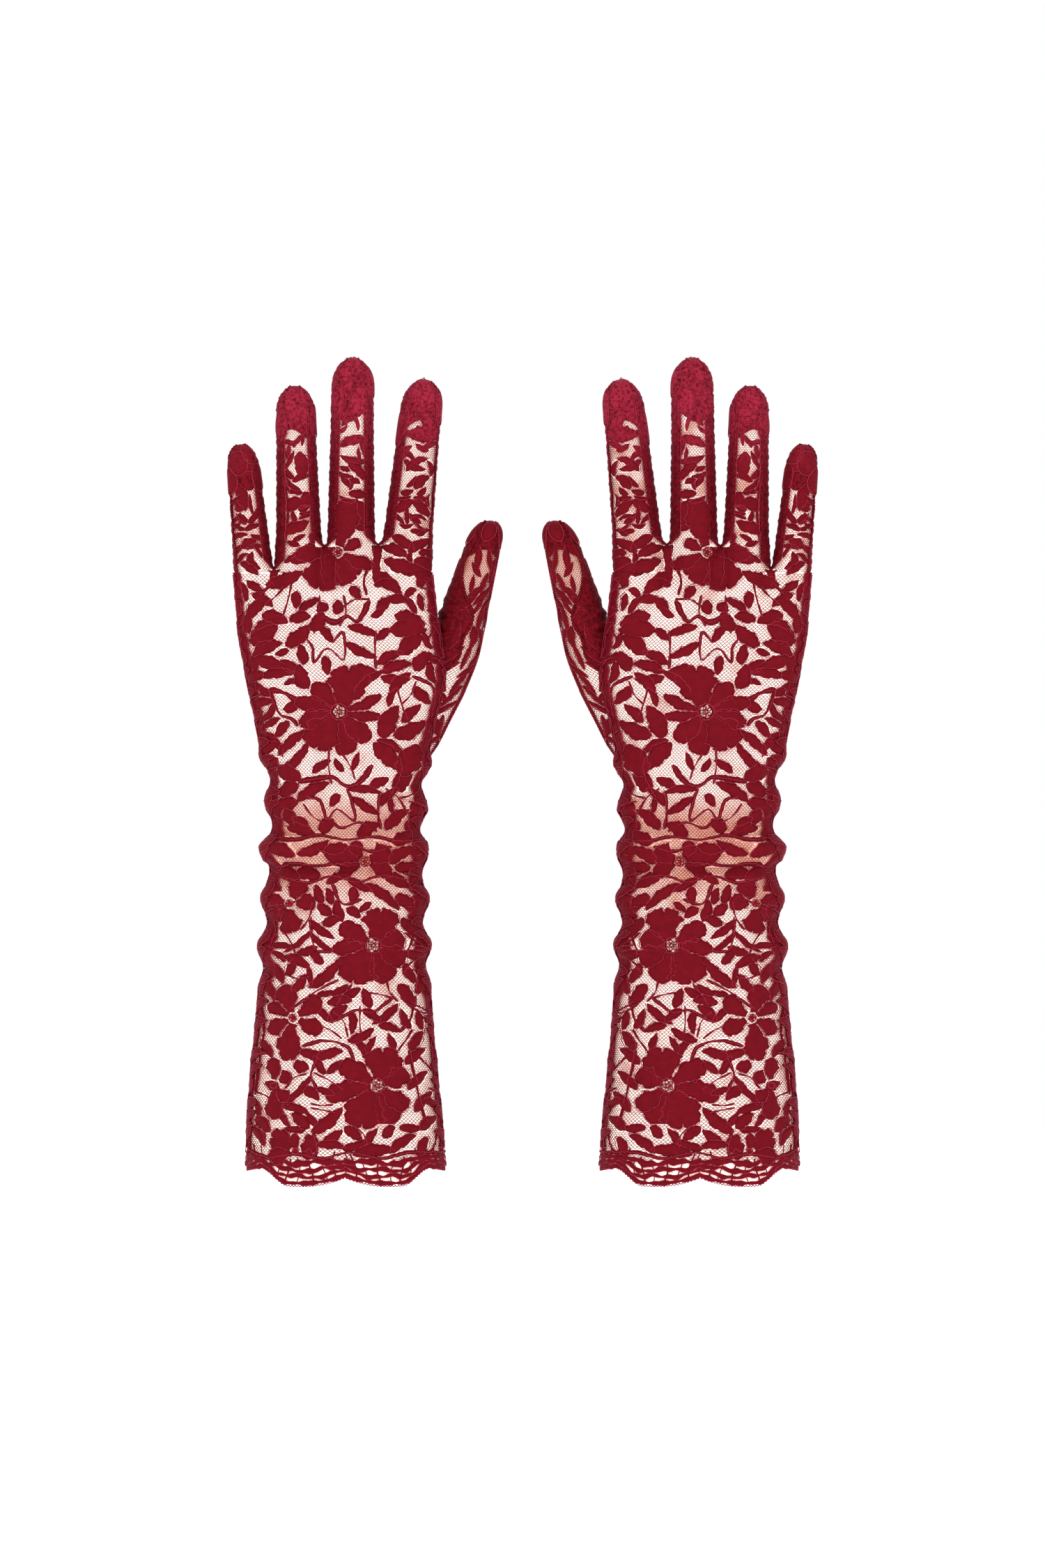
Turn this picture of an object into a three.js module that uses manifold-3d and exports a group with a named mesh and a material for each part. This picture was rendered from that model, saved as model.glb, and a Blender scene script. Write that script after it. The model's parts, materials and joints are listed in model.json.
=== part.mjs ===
// A pair of elbow-length stretch-lace opera gloves, open at the cuff, as worn: fingers up, backs of the
// hands towards -Y. Each glove is cut and sewn: a back panel and a palm panel for the hand and for the
// sleeve, a scalloped cuff border, a thumb gusset and thumb stall, and for each finger a back strip, a
// palm strip and the fourchettes between the fingers, all over a thin lining.
// Units are millimetres. +Z runs from the cuff to the fingertips, +X to the wearer's right.
// One glove is built in its own frame, x = 0 at the cuff's centre and +x towards the thumb, and mirrored.
import * as THREE from "three";
import { mergeVertices } from "three/addons/utils/BufferGeometryUtils.js";
import Module from "manifold-3d";

const wasm = await Module();
wasm.setup();
const { clamp, lerp, smoothstep } = THREE.MathUtils;

// ---- driving dimensions ----
const PAIR_SPACING = 156.8; // between the two cuffs' centres
const LACE_WALL = 0.8; // lace panel with its raised cords
const LINING_WALL = 0.5;
const SEAM_GAP = 0.3; // between pieces that are sewn edge to edge, and between lace and lining
const CUFF_BORDER_HEIGHT = 13;
const SCALLOP_DEPTH = 4;
const SCALLOP_COUNT = 6; // around the cuff
const SIDE_RISE = 4; // how much higher the hem runs at the two sides of the arm
const LINING_HEM = 17; // height of the lining's hem above the cuff's lowest edge
const WRIST_HEIGHT = 172;
const KNUCKLE_HEIGHT = 272; // the finger stalls start here
const WRIST_FLEXION = 47; // degrees the opening at the wrist is cut for, towards the palm
const WRIST_EXTENSION = 37; // and towards the back of the hand
const FINGER_FLEXION = 79;
const THUMB_FLEXION = 54;
const FINGER_PIVOT_DEPTH = 6; // how far the finger hinges lie towards the palm
const FINGER_SEAM_ANGLE = 40; // degrees from the middle of a finger's back to its seams
const FINGERTIP_OPENING = 1.2; // radius where the strips' points are gathered
const LOBE_BLEND = 18; // height over which the hand's section turns into the four finger bases
const CROTCH_DEPTH = 3.5; // half depth of the hand between two finger bases

// Arm sections: height, sideways shift, half width, half depth and squareness (2 for an oval).
const CUFF = { z: 0, x: 0, half_width: 44.5, half_depth: 33, square: 2.1 };
const LOWER_SLEEVE = { z: 45, x: -1, half_width: 41, half_depth: 30, square: 2.1 };
const MID_SLEEVE = { z: 90, x: -0.8, half_width: 36.8, half_depth: 26, square: 2.1 };
const UPPER_SLEEVE = { z: 135, x: -0.5, half_width: 34.3, half_depth: 21.5, square: 2.2 };
const WRIST = { z: WRIST_HEIGHT, x: 0, half_width: 33.6, half_depth: 18.5, square: 2.3 };
const PALM_HEEL = { z: 200, x: -0.5, half_width: 37.8, half_depth: 17.5, square: 2.4 };
const MID_PALM = { z: 225, x: -0.2, half_width: 43.2, half_depth: 16.5, square: 2.5 };
const UPPER_PALM = { z: 247, x: -3.4, half_width: 43.9, half_depth: 15, square: 2.7 };
const KNUCKLE_SHIFT = -6;
const KNUCKLE_HALF_DEPTH = 11.8;

// Finger stalls, from the little finger to the index: radii at the base, the waist and where the tip's
// dome starts, length from the knuckle line, and how far the tip leans towards the thumb.
const FINGERS = [
  { name: "little", base: 8.8, waist: 8.1, tip: 6.8, length: 57, lean: -5.6 },
  { name: "ring", base: 11.2, waist: 9.7, tip: 8.4, length: 83, lean: -2.2 },
  { name: "middle", base: 11.1, waist: 10.2, tip: 9.1, length: 95.4, lean: 0.9 },
  { name: "index", base: 12.2, waist: 10.5, tip: 8.9, length: 85.7, lean: 8.8 },
];
const FINGER_GAP = 0.4;
const FINGER_FLATNESS = 0.95; // depth over width
const TIP_DOME = 1.4; // the dome's height over its radius

// Thumb: a gusset that grows out of the hand's edge, and the stall on top of it.
const THUMB_HEIGHT = 246;
const THUMB = { x: 49.6, y: 10, base: 11.3, waist: 9.9, tip: 7.6, length: 49.3, lean: 14.3 };
const THUMB_PIVOT_DEPTH = 5; // from the stall's centre towards the palm
const GUSSET = [
  { z: 182, x: 17.5, y: 6, half_width: 11, half_depth: 9, square: 2 },
  { z: 192, x: 25.2, y: 7, half_width: 13, half_depth: 9.5, square: 2 },
  { z: 206, x: 31.7, y: 8, half_width: 14, half_depth: 10.5, square: 2 },
  { z: 220, x: 38.8, y: 9, half_width: 14, half_depth: 11, square: 2 },
  { z: 234, x: 45.6, y: 9.7, half_width: 12.6, half_depth: 11, square: 2 },
  {
    z: THUMB_HEIGHT,
    x: THUMB.x,
    y: THUMB.y,
    half_width: THUMB.base,
    half_depth: THUMB.base * FINGER_FLATNESS,
    square: 2,
  },
];

// ---- values worked out from them ----
const LINING_INSET = LACE_WALL + SEAM_GAP;
const HOLLOW_INSET = LINING_INSET + LINING_WALL;
const KNUCKLE_WIDTH = FINGERS.reduce((sum, f) => sum + 2 * f.base + FINGER_GAP, -FINGER_GAP);
const KNUCKLES = {
  z: KNUCKLE_HEIGHT,
  x: KNUCKLE_SHIFT,
  half_width: KNUCKLE_WIDTH / 2,
  half_depth: KNUCKLE_HALF_DEPTH,
  square: 3.4,
};
const ARM = [CUFF, LOWER_SLEEVE, MID_SLEEVE, UPPER_SLEEVE, WRIST, PALM_HEEL, MID_PALM, UPPER_PALM, KNUCKLES];
const RADIANS = Math.PI / 180;
const FAR = 400; // past every piece
const OVERRUN = 6; // how far a cutting solid runs past what it cuts
const WAIST_SHARE = 0.3; // a stall is narrowest-fitting from this share of its length
const DOME_ROWS = [0, 35, 62, 82]; // degrees up the fingertip's dome
const FINGER_RECESS = Math.tan((FINGER_FLEXION / 2) * RADIANS);
const THUMB_RECESS = Math.tan((THUMB_FLEXION / 2) * RADIANS);
// Angles around a finger, the seams among them.
const QUARTER = [0, FINGER_SEAM_ANGLE, (FINGER_SEAM_ANGLE + 90) / 2];
const HALF = [...QUARTER, 90, ...[...QUARTER].reverse().map((degrees) => 180 - degrees)];
const AROUND = [...HALF, ...HALF.slice(1, -1).map((degrees) => 180 + degrees)];

let edge = KNUCKLE_SHIFT - KNUCKLE_WIDTH / 2;
for (const finger of FINGERS) {
  finger.x = edge + finger.base;
  finger.y = 0;
  finger.z = KNUCKLE_HEIGHT;
  edge += 2 * finger.base + FINGER_GAP;
}
THUMB.z = THUMB_HEIGHT;

// ---- sections ----
// A section's values at a height, on a smooth curve through the named sections.
function sectionAt(sections, z) {
  let i = sections.findIndex((s) => s.z >= z);
  if (i < 0) i = sections.length - 1;
  if (i < 1) i = 1;
  const [a, b] = [sections[i - 1], sections[i]];
  const before = sections[i - 2] ?? a;
  const after = sections[i + 1] ?? b;
  const t = (z - a.z) / (b.z - a.z);
  const made = { z };
  for (const key of ["x", "y", "half_width", "half_depth", "square"]) {
    const [va, vb] = [a[key] ?? 0, b[key] ?? 0];
    const slopeA = (vb - (before[key] ?? 0)) / (b.z - before.z);
    const slopeB = ((after[key] ?? 0) - va) / (after.z - a.z);
    const h = b.z - a.z;
    made[key] =
      va * (2 * t ** 3 - 3 * t ** 2 + 1) +
      slopeA * h * (t ** 3 - 2 * t ** 2 + t) +
      vb * (3 * t ** 2 - 2 * t ** 3) +
      slopeB * h * (t ** 3 - t ** 2);
  }
  return made;
}

// A point on an oval section at an angle from the back of the hand (0) towards the thumb side (90).
function onOval(section, degrees, inset) {
  const angle = degrees * RADIANS;
  return new THREE.Vector3(
    section.x + (section.half_width - inset) * Math.sin(angle),
    section.y - (section.half_depth - inset) * Math.cos(angle),
    section.z,
  );
}

// How deep the row of finger bases is at x.
function lobeDepth(x, inset) {
  let depth = CROTCH_DEPTH - inset;
  for (const finger of FINGERS) {
    const share = (x - finger.x) / (finger.base - inset);
    if (Math.abs(share) < 1) {
      depth = Math.max(depth, (finger.base * FINGER_FLATNESS - inset) * Math.sqrt(1 - share * share));
    }
  }
  return depth;
}

// A point on the arm, at a share of its half width (-1 to 1) on its back (side -1) or palm (side 1).
// Near the knuckles the section turns into the row of finger bases.
function onArm(z, share, side, inset) {
  const section = sectionAt(ARM, Math.min(z, KNUCKLE_HEIGHT));
  const x = section.x + (section.half_width - inset) * share;
  const rounded = (1 - Math.abs(share) ** section.square) ** (1 / section.square);
  const depth = (section.half_depth - inset) * rounded;
  const w = smoothstep(z, KNUCKLE_HEIGHT - LOBE_BLEND, KNUCKLE_HEIGHT);
  const lobed = lerp(depth, Math.min(depth, lobeDepth(x, inset)), w);
  return new THREE.Vector3(x, section.y + side * lobed, z);
}

// A point on a finger or thumb stall at a share of its length.
function onStall(stall, share, degrees, inset) {
  const height = share * stall.length;
  const dome = stall.tip * TIP_DOME;
  const waistHeight = stall.length * WAIST_SHARE;
  const domeStart = stall.length - dome;
  let radius = stall.waist;
  if (height < waistHeight) {
    radius = lerp(stall.base, stall.waist, smoothstep(height, 0, waistHeight));
  } else {
    radius = lerp(stall.waist, stall.tip, (height - waistHeight) / (domeStart - waistHeight));
  }
  let narrowed = radius - inset;
  if (height > domeStart) {
    const up = Math.min((height - domeStart) / (dome - inset), 1);
    narrowed = Math.max((stall.tip - inset) * Math.sqrt(1 - up * up), FINGERTIP_OPENING);
  }
  const section = {
    z: stall.z + height,
    x: stall.x + stall.lean * share,
    y: stall.y,
    half_width: narrowed,
    half_depth: narrowed * FINGER_FLATNESS,
    square: 2,
  };
  return onOval(section, degrees, 0);
}

// ---- solids ----
function solidFrom(points, triangles) {
  const vertProperties = new Float32Array(points.flatMap((p) => [p.x, p.y, p.z]));
  const triVerts = new Uint32Array(triangles);
  return new wasm.Manifold(new wasm.Mesh({ numProp: 3, vertProperties, triVerts }));
}

// A curved slab between an outer and an inner grid: at(row, column, inner) gives each point.
function slab(rows, columns, at) {
  const points = [];
  const triangles = [];
  const index = (row, column, inner) => ((inner ? rows : 0) + row) * columns + column;
  for (const inner of [false, true]) {
    for (let r = 0; r < rows; r++) {
      for (let c = 0; c < columns; c++) points.push(at(r, c, inner));
    }
  }
  const quad = (a, b, c, d) => triangles.push(a, b, c, a, c, d);
  for (let r = 0; r < rows - 1; r++) {
    for (let c = 0; c < columns - 1; c++) {
      quad(index(r, c), index(r, c + 1), index(r + 1, c + 1), index(r + 1, c));
      quad(index(r, c, true), index(r + 1, c, true), index(r + 1, c + 1, true), index(r, c + 1, true));
    }
    const last = columns - 1;
    quad(index(r, 0), index(r + 1, 0), index(r + 1, 0, true), index(r, 0, true));
    quad(index(r, last), index(r, last, true), index(r + 1, last, true), index(r + 1, last));
  }
  for (let c = 0; c < columns - 1; c++) {
    const last = rows - 1;
    quad(index(0, c), index(0, c, true), index(0, c + 1, true), index(0, c + 1));
    quad(index(last, c), index(last, c + 1), index(last, c + 1, true), index(last, c, true));
  }
  return solidFrom(points, triangles);
}

// A closed band of wall: at(column, top, inner) gives each point of its four edges.
function band(columns, at) {
  const points = [];
  const triangles = [];
  for (let c = 0; c < columns; c++) {
    points.push(at(c, false, false), at(c, true, false), at(c, true, true), at(c, false, true));
    const next = (c + 1) % columns;
    for (let e = 0; e < 4; e++) {
      const [a, b] = [4 * c + e, 4 * c + ((e + 1) % 4)];
      const [nextA, nextB] = [4 * next + e, 4 * next + ((e + 1) % 4)];
      triangles.push(a, nextA, nextB, a, nextB, b);
    }
  }
  return solidFrom(points, triangles);
}

// A capped solid through closed rings: at(row, column) gives each point.
function column(rows, columns, at) {
  const points = [];
  const triangles = [];
  for (let r = 0; r < rows; r++) {
    for (let c = 0; c < columns; c++) points.push(at(r, c));
  }
  const middle = (r) =>
    points
      .slice(r * columns, (r + 1) * columns)
      .reduce((sum, p) => sum.add(p), new THREE.Vector3())
      .divideScalar(columns);
  const foot = points.length;
  points.push(middle(0), middle(rows - 1));
  for (let c = 0; c < columns; c++) {
    const next = (c + 1) % columns;
    for (let r = 0; r < rows - 1; r++) {
      const [a, b] = [r * columns + c, r * columns + next];
      triangles.push(a, b, b + columns, a, b + columns, a + columns);
    }
    const top = (rows - 1) * columns;
    triangles.push(foot, next, c, foot + 1, top + c, top + next);
  }
  return solidFrom(points, triangles);
}

// A prism along X with an outline of [y, z] corners, anticlockwise seen from +X.
function prism(outline) {
  const shape = new THREE.Shape(outline.map(([y, z]) => new THREE.Vector2(y, z)));
  const geometry = new THREE.ExtrudeGeometry(shape, { depth: 2 * FAR, bevelEnabled: false });
  geometry.applyMatrix4(new THREE.Matrix4().set(0, 0, 1, -FAR, 1, 0, 0, 0, 0, 1, 0, 0, 0, 0, 0, 1));
  geometry.deleteAttribute("normal");
  geometry.deleteAttribute("uv");
  const merged = mergeVertices(geometry);
  return new wasm.Manifold(
    new wasm.Mesh({
      numProp: 3,
      vertProperties: merged.attributes.position.array,
      triVerts: new Uint32Array(merged.index.array),
    }),
  );
}

function even(count, from, to) {
  return Array.from({ length: count }, (_, i) => lerp(from, to, i / (count - 1)));
}

// ---- where the joints part the glove ----
const wristSlope = (flexion) => Math.tan((flexion / 2) * RADIANS);
const wristLine = (side) => [
  [FAR, WRIST_HEIGHT + side * (SEAM_GAP / 2 + FAR * wristSlope(WRIST_FLEXION))],
  [0, WRIST_HEIGHT + (side * SEAM_GAP) / 2],
  [-FAR, WRIST_HEIGHT + side * (SEAM_GAP / 2 + FAR * wristSlope(WRIST_EXTENSION))],
];
// Below or above a finger hinge: flat on the back, sloping away from the hinge on the palm side.
function hingeLine(height, pivot, recess, side) {
  return [
    [FAR, height + side * (SEAM_GAP / 2 + (FAR - pivot) * recess)],
    [pivot, height + (side * SEAM_GAP) / 2],
    [-FAR, height + (side * SEAM_GAP) / 2],
  ];
}
const below = (line) => prism([[-FAR, -FAR], [FAR, -FAR], ...line]);
const above = (line) => prism([[FAR, 3 * FAR], [-FAR, 3 * FAR], ...[...line].reverse()]);
const belowWrist = below(wristLine(-1));
const aboveWrist = above(wristLine(1));
const belowFingers = below(hingeLine(KNUCKLE_HEIGHT, FINGER_PIVOT_DEPTH, FINGER_RECESS, -1));
const aboveFingers = above(hingeLine(KNUCKLE_HEIGHT, FINGER_PIVOT_DEPTH, FINGER_RECESS, 1));
const thumbPivot = THUMB.y + THUMB_PIVOT_DEPTH;
const belowThumb = below(hingeLine(THUMB_HEIGHT, thumbPivot, THUMB_RECESS, -1));
const aboveThumb = above(hingeLine(THUMB_HEIGHT, thumbPivot, THUMB_RECESS, 1));

// ---- arm pieces ----
// Shares of the half width where a panel's columns run: around the sleeve, and through the finger bases.
const SLEEVE_SHARES = even(11, -90, 90).map((degrees) => Math.sin(degrees * RADIANS));
const HAND_SHARES = FINGERS.flatMap((finger) => {
  const reach = finger.base + FINGER_GAP / 2;
  return [-1, -0.7, 0, 0.7].map((u) => (finger.x + u * reach - KNUCKLES.x) / KNUCKLES.half_width);
});
HAND_SHARES[0] = -1;
HAND_SHARES.push(1);
const SLEEVE_BOTTOM = CUFF_BORDER_HEIGHT + SEAM_GAP;
const SLEEVE_ROWS = [SLEEVE_BOTTOM, LOWER_SLEEVE.z, MID_SLEEVE.z, UPPER_SLEEVE.z, WRIST_HEIGHT];
const HAND_ROWS = [
  ...even(5, WRIST_HEIGHT, UPPER_PALM.z),
  ...even(4, UPPER_PALM.z, KNUCKLE_HEIGHT).slice(1),
];

// The back (side -1) or palm (side 1) half of the arm's wall, from side seam to side seam.
function armPanel(heights, shares, side) {
  const ordered = side < 0 ? shares : [...shares].reverse();
  const last = shares.length - 1;
  return slab(heights.length, shares.length, (r, c, inner) => {
    const point = onArm(heights[r], ordered[c], side, inner ? LACE_WALL : 0);
    if (c === 0 || c === last) point.y = (side * SEAM_GAP) / 2;
    return point;
  });
}

// The arm filled solid, drawn in by inset; its ends can run past the given heights.
function armSolid(heights, shares, inset, extra = 0) {
  const ring = [...shares.map((s) => [s, -1]), ...[...shares].reverse().slice(1, -1).map((s) => [s, 1])];
  const last = heights.length - 1;
  return column(heights.length, ring.length, (r, c) => {
    const past = r === 0 ? -extra : r === last ? extra : 0;
    return onArm(heights[r] + past, ...ring[c], inset);
  });
}

// The thumb gusset filled solid, drawn in by inset.
function gussetSolid(inset, extra = 0) {
  const heights = GUSSET.map((s) => s.z);
  if (extra) heights.push(THUMB_HEIGHT + extra);
  return column(heights.length, AROUND.length, (r, c) => {
    const section = { ...sectionAt(GUSSET, Math.min(heights[r], THUMB_HEIGHT)), z: heights[r] };
    return onOval(section, AROUND[c], inset);
  });
}

const largest = (solid) => solid.decompose().sort((a, b) => b.volume() - a.volume())[0];

function handPieces() {
  const gussetHollow = gussetSolid(LACE_WALL, OVERRUN);
  const between = (solid) => solid.intersect(aboveWrist).intersect(belowFingers);
  const panel = (side) => between(armPanel(HAND_ROWS, HAND_SHARES, side)).subtract(gussetHollow);
  const hand = armSolid(HAND_ROWS, HAND_SHARES, -SEAM_GAP, OVERRUN);
  const gusset = gussetSolid(0).intersect(belowThumb).subtract(gussetHollow).subtract(hand);
  const gussetLining = gussetSolid(LINING_INSET).intersect(belowThumb);
  const filled = between(armSolid(HAND_ROWS, HAND_SHARES, LINING_INSET)).add(gussetLining);
  const gussetInside = gussetSolid(HOLLOW_INSET, OVERRUN);
  const hollow = armSolid(HAND_ROWS, HAND_SHARES, HOLLOW_INSET, OVERRUN).add(gussetInside);
  return {
    hand_back: largest(panel(-1)),
    hand_palm: largest(panel(1)),
    thumb_gusset: largest(gusset),
    hand_lining: largest(filled.subtract(hollow)),
  };
}

function sleevePieces() {
  const liningRows = [LINING_HEM, ...SLEEVE_ROWS.slice(1)];
  const lining = armSolid(liningRows, SLEEVE_SHARES, LINING_INSET)
    .intersect(belowWrist)
    .subtract(armSolid(liningRows, SLEEVE_SHARES, HOLLOW_INSET, OVERRUN));
  return {
    sleeve_back: armPanel(SLEEVE_ROWS, SLEEVE_SHARES, -1).intersect(belowWrist),
    sleeve_palm: armPanel(SLEEVE_ROWS, SLEEVE_SHARES, 1).intersect(belowWrist),
    cuff_border: cuffBorder(),
    sleeve_lining: lining,
  };
}

// A closed band whose lower edge runs in scallops with flat feet, higher at the two sides of the arm.
function cuffBorder() {
  const profile = [1, 0.3, 0, 0, 0, 0.3];
  const span = 360 / SCALLOP_COUNT;
  const rise = (degrees) => (Math.abs(Math.sin(degrees * RADIANS)) > 0.8 ? SIDE_RISE : 0);
  const lowEdge = (c) => {
    const along = c % profile.length;
    const start = ((c - along) / profile.length) * span;
    const scallops = along ? [start + span / 2] : [start - span / 2, start + span / 2];
    return profile[along] * SCALLOP_DEPTH + Math.max(...scallops.map(rise));
  };
  return band(SCALLOP_COUNT * profile.length, (c, top, inner) => {
    const degrees = (c * span) / profile.length;
    const back = Math.cos(degrees * RADIANS) > 0 ? -1 : 1;
    const z = top ? CUFF_BORDER_HEIGHT : lowEdge(c);
    return onArm(z, Math.sin(degrees * RADIANS), back, inner ? LACE_WALL : 0);
  });
}

// ---- finger and thumb pieces ----
// Shares of a stall's length for its rows: up to the dome, then on the dome.
function stallShares(stall, inset) {
  const dome = stall.tip * TIP_DOME;
  const start = (stall.length - dome) / stall.length;
  const domeShare = (dome - inset) / stall.length;
  const onDome = DOME_ROWS.map((degrees) => start + domeShare * Math.sin(degrees * RADIANS));
  return [0, WAIST_SHARE / 2, WAIST_SHARE, ...onDome];
}

// A strip of a stall's wall through the given angles, from seam to seam.
function strip(stall, angles) {
  const outer = stallShares(stall, 0);
  const inner = stallShares(stall, LACE_WALL);
  const [from, to] = [angles[0], angles[angles.length - 1]];
  return slab(outer.length, angles.length, (r, c, isInner) => {
    const share = isInner ? inner[r] : outer[r];
    const inset = isInner ? LACE_WALL : 0;
    const radius = stall.y - onStall(stall, share, 0, inset).y;
    const trim = SEAM_GAP / 2 / radius / RADIANS;
    return onStall(stall, share, clamp(angles[c], from + trim, to - trim), inset);
  });
}

function stallLining(stall, keep) {
  const filled = (inset, extra) => {
    const shares = stallShares(stall, inset);
    return column(shares.length, AROUND.length, (r, c) => {
      const point = onStall(stall, shares[r], AROUND[c], inset);
      if (r === 0) point.z -= extra;
      return point;
    });
  };
  return filled(LINING_INSET, 0).intersect(keep).subtract(filled(HOLLOW_INSET, OVERRUN));
}

// The strips of one stall. Each cut is a list of angles out of AROUND, from one seam to the next.
const aroundFrom = (from, to) => {
  const turns = [...AROUND.map((a) => a - 360), ...AROUND, ...AROUND.map((a) => a + 360)];
  return turns.filter((a) => a >= from && a <= to);
};

function fingerPieces(index) {
  const finger = FINGERS[index];
  const seam = FINGER_SEAM_ANGLE;
  const first = index === 0; // nothing outside the little finger
  const last = index === FINGERS.length - 1;
  const cut = (from, to) => largest(strip(finger, aroundFrom(from, to)).intersect(aboveFingers));
  const pieces = {
    back: cut(first ? -90 : -seam, last ? 90 : seam),
    palm: cut(last ? 90 : 180 - seam, first ? 270 : 180 + seam),
    lining: stallLining(finger, aboveFingers),
  };
  if (!last) pieces.fourchette_thumb_side = cut(seam, 180 - seam);
  if (!first) pieces.fourchette_outer_side = cut(seam - 180, -seam);
  return pieces;
}

function thumbPieces() {
  const cut = (from, to) => largest(strip(THUMB, aroundFrom(from, to)).intersect(aboveThumb));
  return { back: cut(-90, 90), palm: cut(90, 270), lining: stallLining(THUMB, aboveThumb) };
}

// ---- materials ----
const LACE = new THREE.MeshStandardMaterial({ color: 0x8f1233, roughness: 0.8, metalness: 0 });
const LINING = new THREE.MeshStandardMaterial({ color: 0xf6ece6, roughness: 0.85, metalness: 0 });

function meshOf(solid, name, material) {
  const { numProp, vertProperties, triVerts } = solid.getMesh();
  const position = new Float32Array((vertProperties.length / numProp) * 3);
  for (let i = 0; i < position.length / 3; i++) {
    position.set(vertProperties.subarray(i * numProp, i * numProp + 3), i * 3);
  }
  const geometry = new THREE.BufferGeometry()
    .setAttribute("position", new THREE.BufferAttribute(position, 3))
    .setIndex(new THREE.BufferAttribute(triVerts, 1));
  geometry.computeVertexNormals();
  const mesh = new THREE.Mesh(geometry, material);
  mesh.name = name;
  return mesh;
}

// ---- the pair ----
const solids = { ...sleevePieces(), ...handPieces() };
FINGERS.forEach((finger, i) => {
  for (const [piece, solid] of Object.entries(fingerPieces(i))) solids[`${finger.name}_${piece}`] = solid;
});
for (const [piece, solid] of Object.entries(thumbPieces())) solids[`thumb_${piece}`] = solid;

const pair = new THREE.Group();
for (const side of ["left", "right"]) {
  const glove = new THREE.Group();
  for (const [name, solid] of Object.entries(solids)) {
    glove.add(meshOf(solid, `${side}_${name}`, name.endsWith("lining") ? LINING : LACE));
  }
  glove.position.x = ((side === "left" ? -1 : 1) * PAIR_SPACING) / 2;
  glove.scale.x = side === "left" ? 1 : -1;
  pair.add(glove);
}

export default pair;
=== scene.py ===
"""A pair of elbow-length lace opera gloves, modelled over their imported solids.

Each glove is a fine net with solid flowers and leaves, raised cords around them, ruched side
seams, a scalloped hem, corded finger seams with dark fourchettes, and a thin ivory lining.
One glove is made in millimetres, x = 0 at the cuff's centre and +x towards the thumb, then mirrored.
"""
import json
import math

import bpy
import numpy as np
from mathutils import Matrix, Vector


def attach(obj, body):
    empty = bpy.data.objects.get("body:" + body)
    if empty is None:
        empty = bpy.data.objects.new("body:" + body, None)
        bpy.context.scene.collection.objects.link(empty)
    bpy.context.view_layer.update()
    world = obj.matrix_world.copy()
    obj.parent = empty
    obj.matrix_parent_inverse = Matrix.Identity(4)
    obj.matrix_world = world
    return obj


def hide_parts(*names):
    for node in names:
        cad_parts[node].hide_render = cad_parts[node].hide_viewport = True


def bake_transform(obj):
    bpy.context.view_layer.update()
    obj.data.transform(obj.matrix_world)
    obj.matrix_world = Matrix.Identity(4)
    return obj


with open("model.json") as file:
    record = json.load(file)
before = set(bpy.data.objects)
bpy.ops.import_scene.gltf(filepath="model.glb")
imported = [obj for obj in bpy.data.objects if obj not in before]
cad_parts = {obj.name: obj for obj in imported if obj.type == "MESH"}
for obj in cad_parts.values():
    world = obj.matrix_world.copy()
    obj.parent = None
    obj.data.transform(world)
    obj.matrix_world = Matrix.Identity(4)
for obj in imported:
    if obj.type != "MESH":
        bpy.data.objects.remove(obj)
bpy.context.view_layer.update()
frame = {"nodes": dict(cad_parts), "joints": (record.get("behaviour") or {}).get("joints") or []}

bl_info = {
    "name": "Lace opera gloves",
    "version": (1, 0, 0),
    "blender": (4, 5, 0),
    "location": "View3D > Sidebar > Gloves",
    "description": "Builds a pair of lace opera gloves piece by piece",
    "category": "Object",
}

MM = 0.001
JOINTS = {joint["name"]: joint for joint in frame["joints"]}
FINGER_NAMES = ("little", "ring", "middle", "index")
KNUCKLE = JOINTS["left_middle_knuckle"]["pos_m"][2] / MM
WRIST = JOINTS["left_wrist"]["pos_m"][2] / MM
THUMB_LINE = JOINTS["left_thumb_base"]["pos_m"][2] / MM
CUFF_CENTRE = JOINTS["left_wrist"]["pos_m"][0] / MM

# ---- the body of a glove, in millimetres ----
# Arm sections: height, sideways shift, half width, half depth, squareness.
ARM = np.array([
    (0, 0, 44.5, 33, 2.1),
    (45, -1, 41, 30, 2.1),
    (90, -0.8, 36.8, 26, 2.1),
    (135, -0.5, 34.3, 21.5, 2.2),
    (WRIST, 0, 33.6, 18.5, 2.3),
    (200, -0.5, 37.8, 17.5, 2.4),
    (225, -0.2, 43.2, 16.5, 2.5),
    (247, -3.4, 43.9, 15, 2.7),
    (KNUCKLE, -6, 43.9, 11.8, 3.4),
])
# Gusset sections: height, x, y, half width, half depth.
GUSSET = np.array([
    (182, 17.5, 6, 11, 9),
    (192, 25.2, 7, 13, 9.5),
    (206, 31.7, 8, 14, 10.5),
    (220, 38.8, 9, 14, 11),
    (234, 45.6, 9.7, 12.6, 11),
    (THUMB_LINE, 49.6, 10, 11.3, 10.7),
])
THUMB_GIRTH = 10.5  # the radius that its leaves are laid out on
DARK_START = -105  # where the thumb's dark inner strip starts, in degrees from its front
GUSSET_START = 184 - THUMB_LINE  # the gusset's lowest lace, counted from the thumb line
FLATNESS = 0.95  # a finger's depth over its width
TIP_DOME = 1.4  # the height of a fingertip's dome over its radius
WAIST_SHARE = 0.3  # how far up a finger its narrowest place is
SEAM_ANGLE = 40  # from the middle of a finger's back to its seams, in degrees
OPEN_SEAM_ANGLE = 52  # the same where the hand's side seam runs on up a finger
LOBE_BLEND = 18  # how far below the knuckle line the hand turns into four fingers
CROTCH_DEPTH = 7.0  # half the thickness of the web between two fingers
EDGE_DEPTH = 3.5  # half the thickness at the sides of the knuckle line
SCALLOPS = 6
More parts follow.
